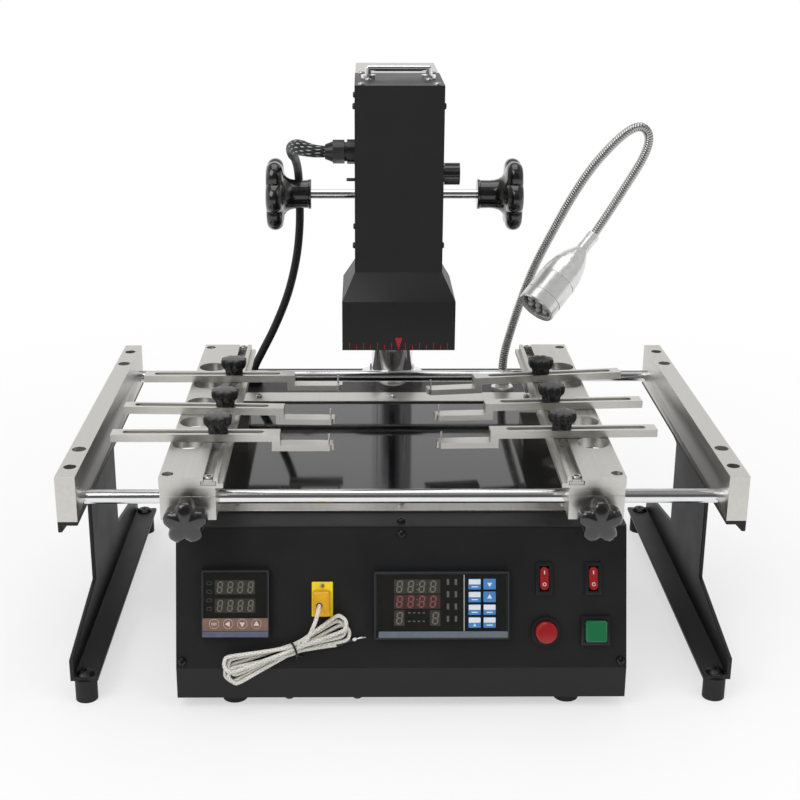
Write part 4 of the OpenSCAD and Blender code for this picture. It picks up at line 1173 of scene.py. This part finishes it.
class STATION_OT_sensor_socket(bpy.types.Operator):
    """Finishes the yellow socket and plug and adds their grips and screw"""

    bl_idname = "station.sensor_socket"
    bl_label = "Sensor socket"

    def execute(self, context):
        amber = socket_plastic("amber_plastic_shell", colours().amber, 0.4)
        dress("sensor_socket", socket_plastic("yellow_plastic_shell", colours().yellow, 0.42), 0.4)
        dress("sensor_plug", amber, 0.7)
        middle = corners("sensor_plug")[1].x
        plug_face = 14.9
        stock = Stock()
        for x in (-4.4, 4.4):
            stock.plate(round_rect(0.8, 13.0, 0.3), plug_face, 15.3, amber, on_panel(middle + x, 47.7), 0.1)
        for i in range(5):
            for side in (-1, 1):
                flank = on_panel(middle + side * 5.7, 43.5 + 1.7 * i, 8.5)
                rib = flank @ turned_about("Y", side * math.pi / 2)
                stock.plate(round_rect(8.0, 0.8, 0.35), -0.1, 0.35, amber, rib, 0.12)
        collar = [(2.2, plug_face), (2.2, 15.3), (1.75, 15.5), (1.6, 15.1)]
        stock.turned(collar, rubber(), on_panel(-58, 46.8), count=28)
        stock.pan_screw(on_panel(corners("sensor_socket")[1].x, 59.2, 2.0), 1.5, steel())
        stock.piece("sensor_plug_fittings", "base")
        return {"FINISHED"}


class STATION_OT_holder_frame(bpy.types.Operator):
    """Finishes the end bars, legs and guide rods and sets their screws"""

    bl_idname = "station.holder_frame"
    bl_label = "Holder frame"

    def execute(self, context):
        dress("end_bars", aluminium())
        dress("side_legs", powder_coat())
        dress("guide_rods", bright_metal(), 0.4)
        foot_screw = [(6.4, 20.0), (6.4, 20.8), (4.6, 22.4), (2.4, 22.7, cross), (2.2, 21.2, cross),
                      (0.01, 21.1)]
        stock = Stock()
        bar_off, recess_z, foot_off = 231, 170.9, 228
        for side in (-1, 1):
            for y in (-135.5, 69.5):
                stock.cap_screw(at(side * bar_off, y, recess_z), 4.6, steel())
            for y in (-181, 115):
                stock.turned(foot_screw, dark_steel(), at(side * foot_off, y, 0), count=48)
        stock.piece("holder_screws", "base")
        return {"FINISHED"}


class STATION_OT_carriages(bpy.types.Operator):
    """Finishes the two carriages and their star knobs and sets their screws"""

    bl_idname = "station.carriages"
    bl_label = "Carriages"

    def execute(self, context):
        for name, side in SIDES.items():
            dress(f"{name}_carriage_plate", aluminium(), 0)
            dress(f"{name}_slide_blocks", aluminium(), 0.6)
            self.set_screws(name, side)
            self.make_star_knob(name)
        return {"FINISHED"}

    def set_screws(self, name, side):
        """The plate's socket screws, the stops in its T-slot and the slide blocks' seams."""
        middle = corners(f"{name}_carriage_plate")[1].x
        block_middle = corners(f"{name}_slide_blocks")[1].x
        screw_off, recess_z, slot_off = 16.5, 174.3, 12
        block_half, seam_z = 19, 161
        stock = Stock()
        for y in (-183.5, 117.5):
            stock.cap_screw(at(middle + side * screw_off, y, recess_z), 3.0, steel())
        for y, out in ((-186.6, -1), (121.8, 1)):
            self.end_stop(stock, middle - side * slot_off, y, out)
        for rod_y in (-170, 104):
            for face in (-1, 1):
                seam = facing((block_middle, rod_y + face * block_half, seam_z), (0, face, 0))
                stock.plate(round_rect(38.3, 0.9, 0.3), -0.1, 0.25, aluminium(), seam, 0.1)
        stock.piece(f"{name}_carriage_screws", f"{name}_carriage")

    def end_stop(self, stock, x, y, out):
        """A bright stop in the end of the T-slot, with its socket screw and a knurled end face."""
        deep, foot_z, step_z, top_z = 8.4, 170.5, 173.1, 174.4
        place = at(x, y, 0)
        stock.plate(round_rect(10.2, deep, 0.6), foot_z, step_z, steel(), place, 0.2)
        stock.plate(round_rect(6.6, deep, 0.6), step_z - 0.1, top_z, steel(), place, 0.2)
        stock.cap_screw(at(x, y, top_z + 1.4), 3.3, steel())
        ribs, pitch, rib_z = 6, 1.7, 171.8
        for i in range(ribs):
            spot = at(x + pitch * (i - (ribs - 1) / 2), y + out * deep / 2, rib_z)
            rib = spot @ turned_about("X", -out * math.pi / 2)
            stock.plate(round_rect(0.9, 2.3, 0.3), -0.2, 0.35, steel(), rib, 0.15)

    def make_star_knob(self, name):
        """A crowned knob with five lobes, on its screw."""
        block_front, block_middle, _ = corners(f"{name}_slide_blocks")
        screw_z = 149.1
        place = seen_from_front(block_middle.x, block_front.y, screw_z)
        rim = lobed(5, 0.25, math.pi / 2)
        hub = [(8.0, 0.3), (8.0, 5.2), (9.0, 5.6)]
        grip = [(12.6, 5.7, rim), (14.6, 6.6, rim), (15.3, 8.4, rim), (15.4, 12.0, rim), (15.4, 17.4, rim),
                (15.0, 18.8, rim), (14.2, 19.8, rim), (12.2, 20.9, rim), (9.4, 21.8, rim), (6.0, 22.4, rim)]
        crown = [(3.0, 22.65), (0.01, 22.7)]
        stock = Stock()
        stock.turned(hub + grip + crown, knob_plastic(), place, count=80)
        stock.turned([(3, -13.5), (3, 0.4)], steel(), place, count=24)
        made = stock.piece(f"{name}_star_grip", f"{name}_star_knob", "black_plastic", 42.0)
        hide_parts(f"{name}_star_knob")


class STATION_OT_arms(bpy.types.Operator):
    """Finishes the six arms and clamp nuts and makes their knobs"""

    bl_idname = "station.arms"
    bl_label = "Arms"

    def execute(self, context):
        for name in SIDES:
            for row in ROWS:
                dress(f"{name}_{row}_arm", arm_aluminium(), 0.35)
                dress(f"{name}_{row}_clamp_nut", steel(), 0.2)
                self.make_knob(f"{name}_{row}_knob")
        return {"FINISHED"}

    def make_knob(self, node):
        """A fluted knob with a blind bore over its stud, wider towards the top."""
        foot, middle, _ = corners(node)
        bore, bore_end = 2.7, 10.9
        rim = lobed(8, 0.13, math.pi / 8)
        inside = [(0.01, bore_end), (bore, bore_end), (bore, 0.02)]
        neck = [(6.8, 0.02), (7.2, 0.4), (7.25, 2.4)]
        grip = [(7.5, 3.4, rim), (8.6, 4.7, rim), (9.9, 6.1, rim), (10.5, 7.5, rim), (10.65, 9.0, rim),
                (10.65, 11.2, rim), (10.4, 12.0, rim), (9.8, 12.4, rim)]
        crown = [(8.4, 12.55), (4.0, 12.7), (0.01, 12.74)]
        stock = Stock()
        stock.turned(inside + neck + grip + crown, clamp_plastic(), at(middle.x, middle.y, foot.z), count=96)
        made = stock.piece(f"{node}_grip", node, "black_plastic", 42.0)
        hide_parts(node)


class STATION_OT_heater_head(bpy.types.Operator):
    """Finishes the upper heater, its handle and gland, and draws the skirt's scale"""

    bl_idname = "station.heater_head"
    bl_label = "Heater head"

    def execute(self, context):
        dress("head_housing", powder_coat(), 0.8)
        dress("head_slide", aluminium(), 0.8)
        dress("upper_heater", ceramic(), 0.6)
        dress("top_handle", bright_metal(), 0.2)
        dress("cable_gland", gloss_plastic("gland_plastic", colours().knob), 0.4)
        stock = Stock()
        self.draw_scale(stock)
        top = corners("head_housing")[2].z
        for x in (-23, 23):
            stock.pan_screw(at(x, 3.2, top), 2.4, steel())
        for x in (-28, 28):
            for y in (-27, 49):
                stock.pan_screw(at(x, y, top), 2.6, steel())
        hood_half = 33.3
        for side in (-1, 1):
            for y in (-24, 46):
                for z in (300, 405):
                    stock.pan_screw(facing((side * hood_half, y, z), (side, 0, 0)), 2.4, dark_steel())
        peg = [(1.3, -1), (1.3, 6.0), (0.9, 6.6), (0.01, 6.7)]
        stock.turned(peg, dark_steel(), facing((-hood_half, 12, 344), (-1, 0, 0)), count=20)
        stock.piece("head_fittings", "head")
        return {"FINISHED"}

    def draw_scale(self, stock):
        """Red ticks along the skirt's lower edge, long and short in turn, and a pointer in their middle."""
        red = printed("red_scale", colours().mark)
        skirt = corners("head_housing")[0]
        upright = seen_from_front(0, skirt.y, 0)
        count, pitch = sizes().tick_count, 5.35
        for i in range(-count, count + 1):
            tall = 5.4 if i % 2 else 3.8
            stock.plate(round_rect(0.4, tall, 0.1, 2), -0.05, 0.1, red,
                        upright @ at(i * pitch, skirt.z + 0.4 + tall / 2, 0))
        pointer = [(0, 0.6), (2.8, 9.8), (-2.8, 9.8)]
        stock.plate(pointer, -0.05, 0.12, red, upright @ at(0, skirt.z, 0))


class STATION_OT_lift(bpy.types.Operator):
    """Finishes the column, the pinion shaft and the lock knob, and makes the hand wheels"""

    bl_idname = "station.lift"
    bl_label = "Lift"

    def execute(self, context):
        dress("column", bright_metal(), 0.3)
        dress("pinion_shaft", bright_metal(), 0.2)
        dress("lock_knob", knob_plastic(), 0.4, 2)
        self.make_wheels()
        middle = corners("column")[1]
        ring, flange_top = 24, 139.4
        bolts = Stock()
        for i in range(4):
            a = math.pi / 4 + i * math.pi / 2
            spot = at(middle.x + ring * math.cos(a), middle.y + ring * math.sin(a), flange_top)
            bolts.cap_screw(spot, 3.4, dark_steel())
        bolts.piece("flange_bolts", "base")
        return {"FINISHED"}

    def make_wheels(self):
        """Two lobed wheels on hubs that widen towards them, one on each end of the pinion's shaft."""
        axis = corners("pinion_shaft")[1]
        rim = scalloped(6, 0.2)
        outer, round_wide, round_high, rim_middle = 32, 6.5, 7.0, 102.6
        hub = [(4.1, 71.5), (12.4, 71.5), (12.9, 72.0), (12.9, 73.6), (12.2, 74.2), (12.0, 82.0),
               (12.4, 86.5), (13.4, 90.0), (15.2, 92.8), (18.2, 94.8)]
        edge = [(outer - round_wide * (1 - math.cos(t)), rim_middle + round_high * math.sin(t), rim)
                for t in (math.radians(-80 + 16 * i) for i in range(11))]
        face = [(21.0, 109.9, rim), (16.5, 109.4), (12.0, 108.9), (11.2, 108.2), (0.01, 108.0)]
        stock = Stock()
        for side in (-1, 1):
            place = Matrix(((0, 0, side, 0), (1, 0, 0, axis.y), (0, side, 0, axis.z), (0, 0, 0, 1)))
            stock.turned(hub + edge + face, knob_plastic(), place, count=120)
        wheels = stock.piece("hand_wheel_pair", "pinion", "black_plastic", 42.0)
        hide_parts("handwheels")


class STATION_OT_lamp(bpy.types.Operator):
    """Makes the ribbed gooseneck, and finishes the lamp head with its lens"""

    bl_idname = "station.lamp"
    bl_label = "Lamp"

    def execute(self, context):
        tail, ahead = Vector((176.5, 142, 271.7)), Vector((-54, -42, -55.1)).normalized()
        self.make_neck(tail + ahead * 0.7)
        dress("lamp_head", lamp_metal(), 0)
        self.trim_head(facing(tail, ahead))
        return {"FINISHED"}

    def make_neck(self, end):
        """A tube with round ribs, and the socket that holds it to the deck."""
        route = [(100, 142, 142.45), (101.6, 142, 165), (112.9, 142, 207), (125, 142, 242), (140.4, 142, 275),
                 (157, 142, 307), (175, 142, 335), (197, 142, 359), (212, 143, 366.5), (220.5, 145, 358),
                 (217.5, 147, 340), (201, 149, 309), (188, 147, 288), end]
        rib = (0.9, 0.95, 0.985, 1.0, 0.985, 0.95)
        path = even(smooth_route(route, 14), sizes().rib_pitch / MM / len(rib))
        radius = sizes().neck_radius / MM
        socket = [(10, 0), (10, 3.2), (9.2, 4), (6.5, 4), (6.5, 5.2), (6.2, 5.6), (6.5, 6.0), (6.5, 13.2),
                  (5.8, 14), (4.1, 14)]
        stock = Stock()
        stock.swept(path, [radius * rib[i % len(rib)] for i in range(len(path))], neck_steel(), 14)
        stock.turned(socket, lamp_metal(), at(*LAMP_FOOT, DECK_Z), count=36)
        neck = stock.piece("gooseneck", "base", "satin_aluminium")
        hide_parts("lamp_stalk")

    def trim_head(self, place):
        """Rings on the neck of the head, and the dish with its domes behind the front ring."""
        stock = Stock()
        for z in (1.6, 4.0, 14.4, 16.8):
            bead = [(5.3, z - 0.7), (5.75, z - 0.4), (5.75, z + 0.4), (5.3, z + 0.7)]
            stock.turned(bead, lamp_metal(), place, 40)
        stock.turned([(14.6, 82.4), (14.6, 83.0), (13.8, 83.3), (0.01, 83.3)], lamp_dish(), place, 48)
        stock.frame(disc(14.9, 48), 1.2, 82.8, 85.6, lamp_metal(), place)
        dome = [(2.5, 83.0), (2.5, 84.2), (2.0, 85.6), (1.1, 86.3), (0.01, 86.5)]
        for i in range(7):
            a = i * math.pi / 3
            far = 8.6 if i else 0.0
            stock.turned(dome, lamp_dome(), place @ at(far * math.cos(a), far * math.sin(a), 0), 24)
        stock.piece("lamp_trim", "base")


class STATION_OT_rear(bpy.types.Operator):
    """Finishes the fan and the power inlet and adds their screws and pins"""

    bl_idname = "station.rear"
    bl_label = "Rear"

    def execute(self, context):
        dress("cooling_fan", bezel_plastic(), 0.4)
        dress("fan_rotor", knob_plastic(), 0.2)
        dress("power_inlet", bezel_plastic(), 0.4)
        backwards = (0, 1, 0)
        stock = Stock()
        fan, screw_off = corners("cooling_fan")[1], 25
        for x in (fan.x - screw_off, fan.x + screw_off):
            for z in (fan.z - screw_off, fan.z + screw_off):
                stock.pan_screw(facing((x, BACK_Y, z), backwards), 3.0, dark_steel())
        inlet, flange = corners("power_inlet")[1], 3.0
        for x in (inlet.x - 20, inlet.x + 20):
            stock.pan_screw(facing((x, BACK_Y + flange, inlet.z), backwards), 2.6, dark_steel())
        for x, z in ((-5, -2), (5, -2), (0, 3)):
            pin = facing((inlet.x + x, BACK_Y - 10.5, inlet.z + z), backwards)
            stock.plate(round_rect(4.0, 2.0, 0.5), -0.5, 12.0, steel(), pin, 0.4)
        stock.piece("rear_fittings", "base")
        return {"FINISHED"}


PIECES = (STATION_OT_stage, STATION_OT_sensor_lead, STATION_OT_head_cable, STATION_OT_cabinet,
          STATION_OT_heater_glass, STATION_OT_small_controller, STATION_OT_wide_controller,
          STATION_OT_switches, STATION_OT_sensor_socket, STATION_OT_holder_frame, STATION_OT_carriages,
          STATION_OT_arms, STATION_OT_heater_head, STATION_OT_lift, STATION_OT_lamp, STATION_OT_rear)


class STATION_PT_pieces(bpy.types.Panel):
    """Lists the station's pieces in the sidebar"""

    bl_idname = "STATION_PT_pieces"
    bl_label = "Rework Station"
    bl_space_type = "VIEW_3D"
    bl_region_type = "UI"
    bl_category = "Station"

    def draw(self, context):
        for piece in PIECES:
            self.layout.operator(piece.bl_idname)
        for group in (context.scene.station_sizes, context.scene.station_colours):
            box = self.layout.box()
            for key in group.bl_rna.properties.keys():
                if key not in ("rna_type", "name"):
                    box.prop(group, key)


CLASSES = (StationSizes, StationColours, *PIECES, STATION_PT_pieces)


def register():
    for one in CLASSES:
        bpy.utils.register_class(one)
    bpy.types.Scene.station_sizes = PointerProperty(type=StationSizes)
    bpy.types.Scene.station_colours = PointerProperty(type=StationColours)


def unregister():
    del bpy.types.Scene.station_colours
    del bpy.types.Scene.station_sizes
    for one in reversed(CLASSES):
        bpy.utils.unregister_class(one)


def main():
    register()
    bpy.ops.station.stage()
    bpy.ops.station.sensor_lead()
    bpy.ops.station.head_cable()
    bpy.ops.station.cabinet()
    bpy.ops.station.heater_glass()
    bpy.ops.station.small_controller()
    bpy.ops.station.wide_controller()
    bpy.ops.station.switches()
    bpy.ops.station.sensor_socket()
    bpy.ops.station.holder_frame()
    bpy.ops.station.carriages()
    bpy.ops.station.arms()
    bpy.ops.station.heater_head()
    bpy.ops.station.lift()
    bpy.ops.station.lamp()
    bpy.ops.station.rear()


if __name__ == "__main__":
    main()
